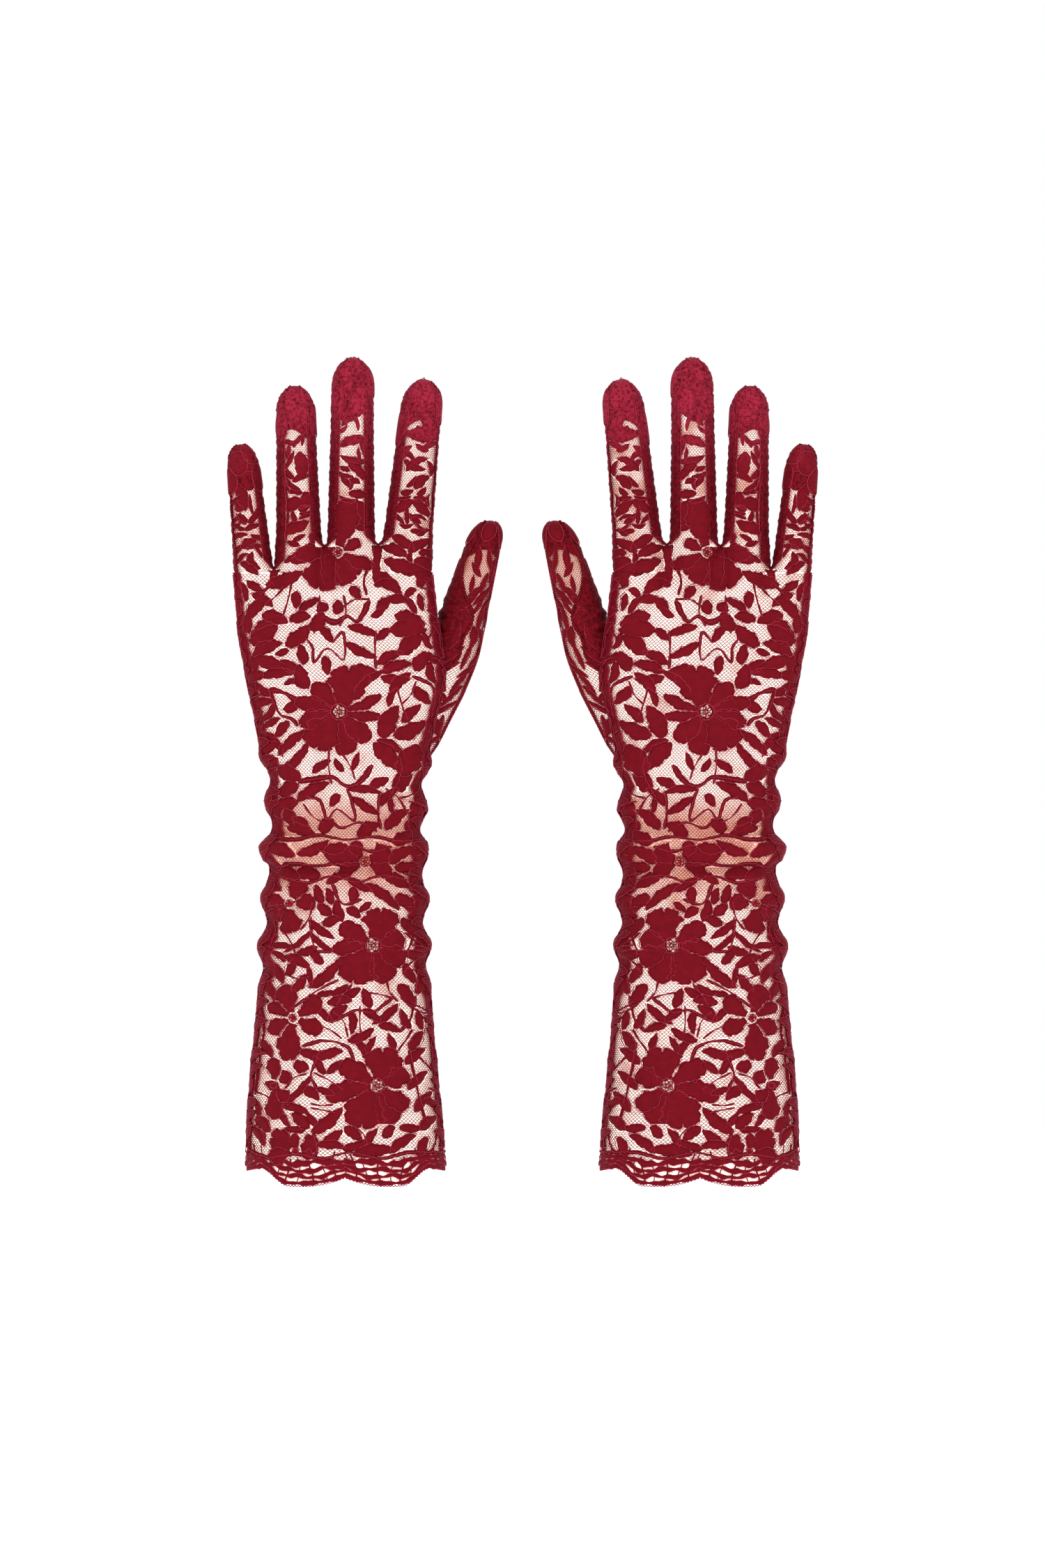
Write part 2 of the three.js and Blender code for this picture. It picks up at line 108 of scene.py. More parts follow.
SCALLOP_DEPTH = 4
SIDE_RISE = 6.4  # how much higher the hem is at the side seams
NET_START = 12  # height of the net's lowest row over the hem
# The gathers at the wrist: where the puffs of each side start and how far apart they are, and the heights
# of the fold, of the small ridge under it and of the crease between them.
OUTER_PUFFS, INNER_PUFFS = (79, 21.5), (81, 20.3)
FOLD, RIDGE, CREASE = 151.5, 136.5, 141.4
ZIGZAG = 0.36  # how far a net thread swings up and down, in rows
# How far the layers stand off the glove's middle surface.
NET_LIFT = -0.3
TUCK = -0.28
LINING_LIFT, LINING_BACK = -1.15, -1.6
# The lengths of a blend to each side of the wrist, and up from a finger's or thumb's base; the bend functions
# work them out but nothing bends the cloth.
WRIST_BEND, FINGER_BEND, THUMB_BEND = 22, 26, 18
# Where the random draws start.
PATTERN_SEED, FINGER_SEED, GAP_SEED, TIP_SEED, THUMB_SEED = 7, 51, 11, 31, 5


class Stall:
    """The tube of one finger or thumb: radii, length and lean."""

    def __init__(self, name, x, y, z, base, waist, tip, length, lean):
        self.name, self.x, self.y, self.z = name, x, y, z
        self.base, self.waist, self.tip, self.length, self.lean = base, waist, tip, length, lean
        self.dome = tip * TIP_DOME
        self.straight = length - self.dome
        self.quarter = math.pi / 4 * (tip + self.dome)  # along the dome, from its foot to its top
        self.reach = self.straight + self.quarter

    def centre(self, height):
        return self.x + self.lean * height / self.length

    def radius(self, height):
        narrow = self.length * WAIST_SHARE
        low = self.base + (self.waist - self.base) * smooth(0, narrow, height)
        share = np.clip((height - narrow) / (self.straight - narrow), 0, 1)
        made = np.where(height < narrow, low, self.waist + (self.tip - self.waist) * share)
        up = np.clip((height - self.straight) / self.dome, 0, 1)
        return np.where(height > self.straight, self.tip * np.sqrt(1 - up * up), made)


def smooth(start, end, x):
    """0 before the start, 1 past the end and an even rise between them."""
    t = np.clip((x - start) / (end - start), 0, 1)
    return t * t * (3 - 2 * t)


def unit(vectors):
    return vectors / np.maximum(np.linalg.norm(vectors, axis=-1, keepdims=True), 1e-9)


def spread(*values):
    """The values as arrays of numbers with one shape."""
    return np.broadcast_arrays(*[np.asarray(value, float) for value in values])


def distances(line):
    """How far along a line of points each of them lies."""
    return np.concatenate([[0], np.cumsum(np.linalg.norm(np.diff(line, axis=0), axis=1))])


def points_along(line, along, places):
    return np.stack([np.interp(places, along, line[:, k]) for k in (0, 1)], -1)


def stall_row():
    """The four fingers side by side across the knuckles, from the little finger to the index."""
    sizes = [(8.8, 8.1, 6.8, 57, -5.6), (11.2, 9.7, 8.4, 83, -2.2), (11.1, 10.2, 9.1, 95.4, 0.9),
             (12.2, 10.5, 8.9, 85.7, 8.8)]
    gap = 0.4
    width = sum(2 * size[0] for size in sizes) + 3 * gap
    edge = ARM[-1, 1] - width / 2
    row = []
    for name, (base, waist, tip, length, lean) in zip(FINGER_NAMES, sizes):
        row.append(Stall(name, edge + base, 0, KNUCKLE, base, waist, tip, length, lean))
        edge += 2 * base + gap
    return row


FINGERS = stall_row()
THUMB = Stall("thumb", 49.6, 10, THUMB_LINE, 11.3, 9.9, 7.6, 49.3, 14.3)
CROTCHES = [1.5, 11.5, 12.5]  # heights over the knuckle line, little to index


def smooth_sections(rows, step=0.5):
    """Sections every half millimetre on smooth curves through the named ones."""
    heights = np.arange(rows[0, 0], rows[-1, 0] + step, step)
    made = [heights]
    slopes = np.zeros((len(rows), rows.shape[1] - 1))
    for i in range(len(rows)):
        before, after = rows[max(i - 1, 0)], rows[min(i + 1, len(rows) - 1)]
        slopes[i] = (after[1:] - before[1:]) / (after[0] - before[0])
    i = np.clip(np.searchsorted(rows[:, 0], heights, side="right") - 1, 0, len(rows) - 2)
    span = rows[i + 1, 0] - rows[i, 0]
    t = (heights - rows[i, 0]) / span
    for k in range(1, rows.shape[1]):
        made.append(
            rows[i, k] * (2 * t**3 - 3 * t**2 + 1)
            + slopes[i, k - 1] * span * (t**3 - 2 * t**2 + t)
            + rows[i + 1, k] * (3 * t**2 - 2 * t**3)
            + slopes[i + 1, k - 1] * span * (t**3 - t**2)
        )
    return np.array(made)


ARM_CURVES = smooth_sections(ARM)
GUSSET_CURVES = smooth_sections(GUSSET)


def arm_section(z):
    """The sideways shift, half width, half depth and squareness of the arm at a height."""
    return [np.interp(z, ARM_CURVES[0], curve) for curve in ARM_CURVES[1:]]


def crotch_between(i, height):
    """Where two neighbouring fingers meet: the sideways place and how much web is left there."""
    a, b = FINGERS[i], FINGERS[i + 1]
    middle = (a.centre(height) + a.radius(height) + b.centre(height) - b.radius(height)) / 2
    web = CROTCH_DEPTH * np.sqrt(np.clip(1 - np.clip(height / CROTCHES[i], 0, None) ** 2, 0, 1))
    return middle, web


def glove_depth(x, z):
    """Half the depth of arm, hand or fingers at a place seen from the back of the hand."""
    centre, half_width, half_depth, square = arm_section(np.minimum(z, KNUCKLE))
    share = np.clip(np.abs(x - centre) / half_width, 0, 1)
    depth = half_depth * (1 - share**square) ** (1 / square)
    height = np.maximum(z - KNUCKLE, 0)
    bases = np.zeros_like(depth)
    for stall in FINGERS:
        across = (x - stall.centre(height)) / np.maximum(stall.radius(height), 1e-6)
        bases = np.maximum(bases, stall.radius(height) * FLATNESS * np.sqrt(np.clip(1 - across**2, 0, 1)))
    for i in range(3):
        middle, web = crotch_between(i, height)
        bases = np.maximum(bases, np.where(np.abs(x - middle) < 4, web, 0))
    below = np.maximum(bases, EDGE_DEPTH)
    w = smooth(KNUCKLE - LOBE_BLEND, KNUCKLE, z)
    hand = depth + (np.minimum(depth, below) - depth) * w
    return np.where(z > KNUCKLE, bases, hand)


def ruche(x, y, z):
    """How far the cloth stands out where it is pushed up at the wrist: side puffs, a fold, a crease."""
    centre, half_width, _, _ = arm_section(np.minimum(z, KNUCKLE))
    share = np.clip((x - centre) / half_width, -1, 1)
    side = smooth(0.62, 0.98, np.abs(share))
    outer, inner = (np.sin((z - start) * 2 * math.pi / pitch) for start, pitch in (OUTER_PUFFS, INNER_PUFFS))
    wave = np.where(share < 0, outer, inner)
    puffs = 1.7 * side * wave * smooth(84, 100, z) * (1 - smooth(186, 200, z))
    fold = 2.9 * np.exp(-(((z - FOLD - 0.03 * x) / 3.4) ** 2))
    fold = fold + 1.2 * np.exp(-(((z - RIDGE) / 2.2) ** 2))
    line = z - CREASE + 0.05 * x
    crease = 2.6 * smooth(-0.8, 0.5, line) * smooth(13, 1, line)
    crease = crease - 0.9 * smooth(-4, -0.8, line) * smooth(0.4, -0.6, line)
    crease = crease * (1 - smooth(-2, 18, x))
    soft = 0.45 * np.sin(z * 0.21 + x * 0.13) * np.sin(x * 0.17 - z * 0.09 + 1.3)
    soft *= smooth(60, 110, z) * (1 - smooth(165, 190, z))
    back = np.where(y < 0, 1.0, 0.7) * (1 - 0.55 * side)
    return puffs + (fold + crease + soft) * back


def on_glove(x, z, lift, side):
    """Points on the back (side -1) or palm (side 1) of the glove, lifted off it along its normal."""
    x, z, lift = spread(x, z, lift)
    centre, half_width, _, _ = arm_section(np.minimum(z, KNUCKLE))
    inside = np.clip(x, centre - 0.992 * half_width, centre + 0.992 * half_width)
    x = np.where(z < KNUCKLE, inside, x)
    step = 0.15
    depth = glove_depth(x, z)
    slope_x = (glove_depth(x + step, z) - glove_depth(x - step, z)) / (2 * step)
    slope_z = (glove_depth(x, z + step) - glove_depth(x, z - step)) / (2 * step)
    normal = unit(np.stack([-slope_x, np.full_like(depth, side), -slope_z], -1))
    point = np.stack([x, side * depth, z], -1)
    out = lift + ruche(x, side * depth, z)
    return point + normal * out[..., None], normal


class Sleeve:
    """The arm and hand unrolled: turn 0 is the middle of the back, 0.25 the thumb side."""

    def __init__(self, steps=120):
        self.heights = np.arange(0, KNUCKLE + 0.5, 1.0)
        theta = np.linspace(-math.pi / 2, math.pi / 2, 4 * steps + 1)
        places, self.lengths = [], []
        for z in self.heights:
            centre, half_width, _, _ = arm_section(z)
            x = centre + half_width * np.sin(theta)
            y = -glove_depth(x, np.full_like(x, z))
            along = np.concatenate([[0], np.cumsum(np.hypot(np.diff(x), np.diff(y)))])
            even = np.linspace(0, along[-1], steps + 1)
            places.append(np.stack([np.interp(even, along, x), np.interp(even, along, y)], -1))
            self.lengths.append(2 * along[-1])
        back = np.array(places)
        palm = back[:, ::-1] * (1, -1)
        ring = np.concatenate([back, palm[:, 1:-1]], 1)
        ring = np.roll(ring, -steps // 2, 1)  # turn 0 in the middle of the back
        self.columns = ring.shape[1]
        z = np.broadcast_to(self.heights[:, None, None], ring.shape[:2] + (1,))
        self.points = np.concatenate([ring, z], -1)
        around = np.roll(self.points, -1, 1) - np.roll(self.points, 1, 1)
        up = np.gradient(self.points, axis=0)
        self.normals = unit(np.cross(around, up))
        self.lengths = np.array(self.lengths)

    def length(self, z):
        return np.interp(z, self.heights, self.lengths)

    def at(self, turn, z, lift, ruched=True):
        """Points at a turn and a height, lifted off the cloth along its normal."""
        turn, z, lift = spread(turn, z, lift)
        row = np.clip(z, 0, len(self.heights) - 1.001)  # the rows are a millimetre apart
        col = (turn % 1) * self.columns
        r, c = row.astype(int), col.astype(int) % self.columns
        dr, dc = (row - r)[..., None], (col - np.floor(col))[..., None]
        nxt = (c + 1) % self.columns

        def blend(table):
            low = table[r, c] * (1 - dc) + table[r, nxt] * dc
            high = table[r + 1, c] * (1 - dc) + table[r + 1, nxt] * dc
            return low * (1 - dr) + high * dr

        point, normal = blend(self.points), unit(blend(self.normals))
        out = lift + (ruche(point[..., 0], point[..., 1], point[..., 2]) if ruched else 0)
        return point + normal * out[..., None], normal


SLEEVE = Sleeve()


def on_stall(stall, degrees, along, lift, webs=()):
    """Points around a stall: degrees from the middle of its back, and a length up it and its dome."""
    degrees, along, lift = spread(degrees, along, lift)
    angle = np.radians(degrees)
    up = np.clip((along - stall.straight) / stall.quarter, 0, 1) * math.pi / 2
    domed = along > stall.straight
    height = np.where(domed, stall.straight + stall.dome * np.sin(up), along)
    radius = np.where(domed, stall.tip * np.cos(up), stall.radius(np.minimum(height, stall.straight)))
    x = stall.centre(height) + radius * np.sin(angle)
    depth = radius * FLATNESS * np.cos(angle)
    for i, toward in webs:  # flares out to meet the neighbouring finger below the crotch
        middle, web = crotch_between(i, height)
        near = smooth(0.6, 1, np.sin(angle) * toward)
        near = near * (1 - smooth(CROTCHES[i] - 0.8, CROTCHES[i] + 1.6, height))
        x = x + (middle - (stall.centre(height) + toward * radius)) * near
        depth = np.where(np.cos(angle) >= 0, np.maximum(depth, web * near), np.minimum(depth, -web * near))
    tilt = np.where(domed, up, 0)
    flat = np.stack([np.sin(angle) * np.cos(tilt), -np.cos(angle) * np.cos(tilt), np.sin(tilt)], -1)
    point = np.stack([x, stall.y - depth, stall.z + height], -1)
    return point + flat * lift[..., None], flat


def on_thumb(degrees, along, lift):
    """Points on the gusset and the thumb stall as one tube; along is below 0 on the gusset."""
    degrees, along, lift = spread(degrees, along, lift)
    upper, upper_normal = on_stall(THUMB, degrees, np.maximum(along, 0), lift)
    z = THUMB_LINE + np.minimum(along, 0)
    x, y, half_width, half_depth = [np.interp(z, GUSSET_CURVES[0], curve) for curve in GUSSET_CURVES[1:]]
    angle = np.radians(degrees)
    lower = np.stack([x + half_width * np.sin(angle), y - half_depth * np.cos(angle), z], -1)
    normal = np.stack([np.sin(angle), -np.cos(angle), np.full_like(angle, -0.1)], -1)
    lower = lower + normal * lift[..., None]
    above = (along > 0)[..., None]
    point = np.where(above, upper, lower)
    wrinkle = 0.7 * np.sin(point[..., 2] * 1.15 + np.sin(angle) * 2.5)
    wrinkle = wrinkle * (1 - smooth(2, 24, along)) * smooth(-40, -12, along)
    wrinkle *= 1 - smooth(-30, 50, np.where(degrees > 180, degrees - 360, degrees))
    normal = np.where(above, upper_normal, normal)
    return point + normal * wrinkle[..., None], normal


# ---- cloth pieces as grids ----
FINISHES = ("petal", "net", "cord", "fourchette", "lining")


class Cloth:
    """The vertices and faces of one piece, with a finish for each face."""

    def __init__(self):
        self.points, self.faces, self.finishes, self.count = [], [], [], 0

    def add(self, points, faces, finish):
        """Takes vertices of any grid shape and an array of quads."""
        points = np.asarray(points).reshape(-1, 3)
        self.points.append(points)
        self.faces.append(np.asarray(faces).reshape(-1, 4) + self.count)
        self.finishes.append(np.full(len(self.faces[-1]), FINISHES.index(finish)))
        self.count += len(points)

    def whole(self):
        return np.concatenate(self.points), np.concatenate(self.faces), np.concatenate(self.finishes)

    def part(self, keep):
        """A new cloth with only the faces whose middle passes the test."""
        points, faces, finishes = self.whole()
        chosen = keep(points[faces].mean(1))
        made = Cloth()
        if chosen.any():
            used, back = np.unique(faces[chosen], return_inverse=True)
            made.points, made.faces = [points[used]], [back.reshape(-1, 4)]
            made.finishes, made.count = [finishes[chosen]], len(used)
        return made

    def join(self, other):
        """Takes in the faces of another cloth."""
        if other.count:
            points, faces, finishes = other.whole()
            self.points.append(points)
            self.faces.append(faces + self.count)
            self.finishes.append(finishes)
            self.count += len(points)
        return self


def grid_faces(rows, columns, wrap=False):
    """The quads of a grid of vertices; wrap joins its last column to its first."""
    index = np.arange(rows * columns).reshape(rows, columns)
    if wrap:
        index = np.concatenate([index, index[:, :1]], 1)
    return np.stack([index[:-1, :-1], index[:-1, 1:], index[1:, 1:], index[1:, :-1]], -1).reshape(-1, 4)


def end_faces(ring):
    """Quads across the end of a cord, fanned from its first vertex."""
    return np.array([(ring[0], *ring[k:k + 3]) for k in range(1, len(ring) - 2, 2)])


def tube(cloth, path, normals, radius, finish, sides=6, closed=False):
    """A round cord along a path that lies on cloth; radius may vary along it."""
    path, normals = np.asarray(path), np.asarray(normals)
    if len(path) < 3:
        return
    radius = np.broadcast_to(radius, (len(path),))[:, None]
    tangent = np.roll(path, -1, 0) - np.roll(path, 1, 0) if closed else np.gradient(path, axis=0)
    across = np.cross(unit(tangent), normals)
    angles = 2 * math.pi * np.arange(sides) / sides
    rings = [path + (normals * math.cos(a) + across * math.sin(a)) * radius for a in angles]
    first = np.arange(sides)
    last = first + (len(path) - 1) * sides
    if closed:
        ends = np.stack([last, np.roll(last, -1), np.roll(first, -1), first], -1)
    else:
        ends = np.concatenate([end_faces(first)[:, ::-1], end_faces(last)])
    cloth.add(np.stack(rings, 1), np.concatenate([grid_faces(len(path), sides, wrap=True), ends]), finish)


def shell(cloth, outer, inner, closed=True):
    """A thin lining with an outer and an inner face, closed along its lower edge if asked."""
    points = np.concatenate([outer, inner[::-1]])
    rows, columns = points.shape[:2]
    faces = grid_faces(rows, columns, wrap=True)
    if closed:
        first = np.arange(columns)
        last = first + (rows - 1) * columns
        faces = np.concatenate([faces, np.stack([last, np.roll(last, -1), np.roll(first, -1), first], -1)])
    cloth.add(points, faces, "lining")


def net(cloth, points, normals, keep, radius):
    """Threads of three sides along every row of a grid, where keep is true for a step."""
    rows, columns = points.shape[:2]
    across = np.cross(unit(np.gradient(points, axis=1)), normals)
    thread = np.stack([
        points + normals * radius,
        points + (-0.5 * normals + 0.87 * across) * radius,
        points + (-0.5 * normals - 0.87 * across) * radius,
    ], 2)
    index = np.arange(rows * columns * 3).reshape(rows, columns, 3)
    faces = []
    for s in range(3):
        n = (s + 1) % 3
        quad = np.stack([index[:, :-1, s], index[:, 1:, s], index[:, 1:, n], index[:, :-1, n]], -1)
        faces.append(quad[keep])
    faces = np.concatenate(faces)
    used, back = np.unique(faces, return_inverse=True)
    cloth.add(thread.reshape(-1, 3)[used], back.reshape(-1, 4), "net")


# ---- flowers, leaves and stems ----
class Pattern:
    """The solid motifs of one side of a glove, as outlines on the flattened cloth."""

    def __init__(self, side):
        self.side = side
        self.cloth, self.cords = Cloth(), Cloth()
        self.cord_radius = bpy.context.scene.glove_sizes.cord_radius / MM
        self.low = np.array([-70.0, -4.0])
        self.cell = 0.3
        self.cover = np.zeros((480, 1260), bool)  # the cells of the cloth that a motif covers
        self.layer = 0
        self.random = np.random.default_rng(PATTERN_SEED + side)

    def place(self, x, z, lift):
        return on_glove(x, z, lift, self.side)

    def mark(self, flat):
        """Notes that these places are covered."""
        cells = ((flat.reshape(-1, 2) - self.low) / self.cell).astype(int)
        inside = ((cells >= 0) & (cells < self.cover.shape)).all(1)
        self.cover[tuple(cells[inside].T)] = True

    def covered(self, x, z):
        i = np.clip(((x - self.low[0]) / self.cell).astype(int), 0, self.cover.shape[0] - 1)
        j = np.clip(((z - self.low[1]) / self.cell).astype(int), 0, self.cover.shape[1] - 1)
        return self.cover[i, j]

    def blade(self, spine, widths, notch=0.0, edges="", crown=0.35, step=0.75):
        """A solid patch along a spine, as wide as the widths along it; edges names the corded ones."""
        spine = np.asarray(spine, float)
        along = distances(spine)
        rows = max(int(along[-1] / step) + 1, 5)
        columns = max(int(2 * widths.max() / step) // 2 * 2 + 1, 3)
        phase = self.random.random() * 6

        def lay(rows, columns):
            """The patch as a flat grid, with its places across and its width at each row."""
            even = np.linspace(0, along[-1], rows)
            middle = points_along(spine, along, even)
            tangent = unit(np.gradient(middle, axis=0))
            left = np.stack([-tangent[:, 1], tangent[:, 0]], -1)
            width = np.interp(even, np.linspace(0, along[-1], len(widths)), widths)
            v = np.linspace(-1, 1, columns)
            ripple = 0.11 * np.sin(even[:, None] * 0.95 + phase + 1.9 * np.sign(v))
            ripple = ripple + 0.07 * np.sin(even[:, None] * 2.3 + 2 * phase - np.sign(v))
            uneven = 1 + ripple * np.abs(v)
            flat = middle[:, None] + left[:, None] * (width[:, None] * v * uneven)[..., None]
            back = notch * np.exp(-((v / 0.22) ** 2)) * smooth(0.55, 1, even / along[-1])[:, None]
            return flat - tangent[:, None] * back[..., None], v, width

        flat, v, width = lay(rows, columns)
        self.mark(lay(rows * 4, columns * 4)[0])
        self.layer = (self.layer + 1) % 7
        base = 0.02 + 0.07 * self.layer
        rise = np.minimum(width / 2.2, 1)[:, None] * (1 - v**4)
        lift = np.where(np.abs(v) > 0.999, TUCK, base + crown * rise)
        lift[[0, -1]] = TUCK
        top, _ = self.place(flat[..., 0], flat[..., 1], lift)
        under, _ = self.place(flat[..., 0], flat[..., 1], np.full_like(lift, NET_LIFT))
        faces = grid_faces(rows, columns)
        if self.side < 0:
            faces = faces[:, ::-1]
        self.cloth.add(top, faces, "petal")
        self.cloth.add(under, faces[:, ::-1], "petal")
        for edge in edges:
            line = {"l": flat[:, -1], "r": flat[:, 0], "m": flat[:, columns // 2],
                    "o": np.concatenate([flat[1:, 0], flat[-1, 1:-1], flat[:0:-1, -1]])}[edge]
            self.cord(line, base + (crown if edge == "m" else 0.12))

    def cord(self, line, lift=0.2, radius=None, step=0.8):
        """A thin raised cord along points on the flat cloth, a little uneven."""
        line = np.asarray(line, float)
        along = distances(line)
        count = max(int(along[-1] / step), 4)
        flat = points_along(line, along, np.linspace(0, along[-1], count))
        flat += self.random.normal(0, 0.14, flat.shape)
        points, normals = self.place(flat[:, 0], flat[:, 1], lift + 0.1)
        radii = (radius or self.cord_radius) * (1 + 0.25 * np.sin(np.arange(count) * 2.1))
        tube(self.cords, points, normals, radii, "cord", sides=5)

    def leaf(self, x0, z0, x1, z1, half, bend=0.12, edges="l"):
        """A pointed leaf from stalk to tip."""
        start, end = np.array([x0, z0], float), np.array([x1, z1], float)
        way = end - start
        start, end, half = start - 0.05 * way, end + 0.07 * way, half * 1.22
        middle = (start + end) / 2 + bend * np.array([-way[1], way[0]])
        t = np.linspace(0, 1, 15)[:, None]
        spine = (1 - t) ** 2 * start + 2 * t * (1 - t) * middle + t**2 * end
        t = t[:, 0]
        widths = half * (np.sin(math.pi * t**0.85) ** 0.7) + 0.12
        self.blade(spine, widths, edges=edges)

    def stem(self, places, half, edges="m"):
        """A narrow wavy stem through points."""
        spine = soft_line(places)
        t = np.linspace(0, 1, 21)
        widths = half * (0.75 + 0.25 * np.sin(t * 9)) * np.minimum(1, 6 * np.minimum(t + 0.1, 1.1 - t))
        self.blade(spine, widths, edges=edges, crown=0.25)

    def petal(self, x, z, turn, length, half, notch=0.0, edges="o", start=2.6):
        """A round petal that points turn degrees from straight up towards the thumb."""
        a = math.radians(turn)
        way = np.array([math.sin(a), math.cos(a)])
        curl = np.array([way[1], -way[0]]) * 0.06 * length
        t = np.linspace(0, 1, 17)[:, None]
        spine = np.array([x, z]) + way * (start + (length - start) * t) + curl * np.sin(math.pi * t)
        t = t[:, 0]
        body = 0.32 + 0.68 * smooth(0, 0.6, t)
        tip = np.sqrt(np.clip(1 - (np.clip(t - 0.62, 0, None) / 0.39) ** 2, 0, 1))
        ripple = 1 + 0.04 * np.sin(t * 14 + turn)
        self.blade(spine, half * body * tip * ripple + 0.1, notch=notch, edges=edges)

    def button(self, x, z, radius=3.0):
        """A flower's centre: a corded ring with a few open eyelets inside."""
        a = np.linspace(0, 2 * math.pi, 22)
        self.cord(np.stack([x + radius * np.cos(a), z + radius * np.sin(a)], -1), 0.5, 0.3, 0.7)
        for k in range(6):
            turn = 2 * math.pi * k / 5
            reach = radius * 0.5 * (k > 0)
            cx, cz = x + reach * math.cos(turn), z + reach * math.sin(turn)
            ring = np.stack([cx + 0.75 * np.cos(a[::2]), cz + 0.75 * np.sin(a[::2])], -1)
            points, normals = self.place(ring[:, 0], ring[:, 1], 0.25)
            tube(self.cloth, points, normals, 0.26, "net", sides=5)

    def flower(self, x, z, petals, button=3.0):
        """Petals around a button."""
        for turn, length, half, notch in petals:
            self.petal(x, z, turn, length, half, notch)
        self.button(x, z, button)


class SidePattern(Pattern):
    """Motifs that lie across a side seam: x is measured around the arm from the seam."""

    def place(self, x, z, lift):
        z = np.clip(z, 9, KNUCKLE)
        turn = (0.25 if self.side > 0 else -0.25) + x / SLEEVE.length(z)
        over = 0.75 * smooth(268, 240, z)  # over the gathered band, which thins out at the knuckles
        return SLEEVE.at(turn, z, np.where(np.asarray(lift) > -0.2, lift + over, lift + 0.3))


def soft_line(places, count=24):
    """Points on a smooth curve through the given ones."""
    places = np.asarray(places, float)
    padded = np.concatenate([[2 * places[0] - places[1]], places, [2 * places[-1] - places[-2]]])
    out = []
    per = max(count // (len(places) - 1), 4)
    for i in range(1, len(padded) - 2):
        a, b, c, d = padded[i - 1:i + 3]
        t = np.linspace(0, 1, per, endpoint=i == len(padded) - 3)[:, None]
        bow, twist = 2 * a - 5 * b + 4 * c - d, 3 * b - a - 3 * c + d
        out.append(0.5 * (2 * b + (c - a) * t + bow * t**2 + twist * t**3))
    return np.concatenate(out)


# Flowers: centre, then each petal's turn, length, half width and notch.
FLOWERS = [
    (-3, 210, [(12, 21, 9, 2.5), (-46, 17, 4.2, 0), (-79, 20, 3.4, 0), (-109, 18.5, 3.8, 1),
               (-149, 19.5, 8, 2), (164, 19, 6.2, 0), (130, 18.5, 4.4, 0), (95, 18.5, 2.3, 0),
               (68, 20, 2.3, 0)], 3.6),
    (12.2, 106.5, [(12, 17, 8, 2), (72, 14, 4.6, 0), (112, 16, 4.6, 0), (150, 17, 6.5, 0),
                   (-152, 19, 8.5, 2), (-98, 18, 3.4, 0), (-62, 17, 4.4, 0)], 3.4),
    (14, 44.5, [(8, 17, 8.5, 2.5), (64, 15, 4.6, 0), (122, 17, 4.2, 0), (150, 18, 6, 0), (-160, 20, 9, 2),
                (-104, 23, 4.4, 0), (-62, 19, 4.8, 1)], 3.2),
    (-23.2, 74.5, [(-22, 15, 4.6, 0), (52, 15, 4, 0), (110, 14, 3.8, 0), (184, 19, 5.4, 1),
                   (-122, 13, 3.4, 0), (-68, 13, 2.8, 0)], 1.6),
    (-31.5, 44.5, [(-8, 12, 3.4, 0), (48, 9, 3, 0), (132, 9, 3, 0), (176, 15, 4.2, 0)], 1.4),
    (-22, 15.5, [(-62, 13, 5.4, 1), (58, 11, 4, 0), (100, 8, 2.4, 0), (-110, 12, 4, 0)], 1.4),
    (-24.5, 125, [(176, 13, 5.6, 1), (80, 11, 4, 0), (20, 11, 4.5, 0), (-130, 11, 4, 0),
                  (-80, 9, 3, 0)], 1.6),
    (8.5, 143.5, [(-78, 18, 4.6, 1), (62, 12, 5, 0), (-40, 10, 3, 0), (110, 13, 3.4, 0),
                  (-120, 13, 3, 0)], 2.2),
    (-3.5, 281, [(-152, 19, 8.2, 2), (140, 14, 8, 1), (-96, 19, 3.8, 0), (-60, 15, 3.2, 0), (8, 24, 5.6, 0),
                 (110, 17, 3, 0), (60, 11, 2.6, 0)], 2.0),
]
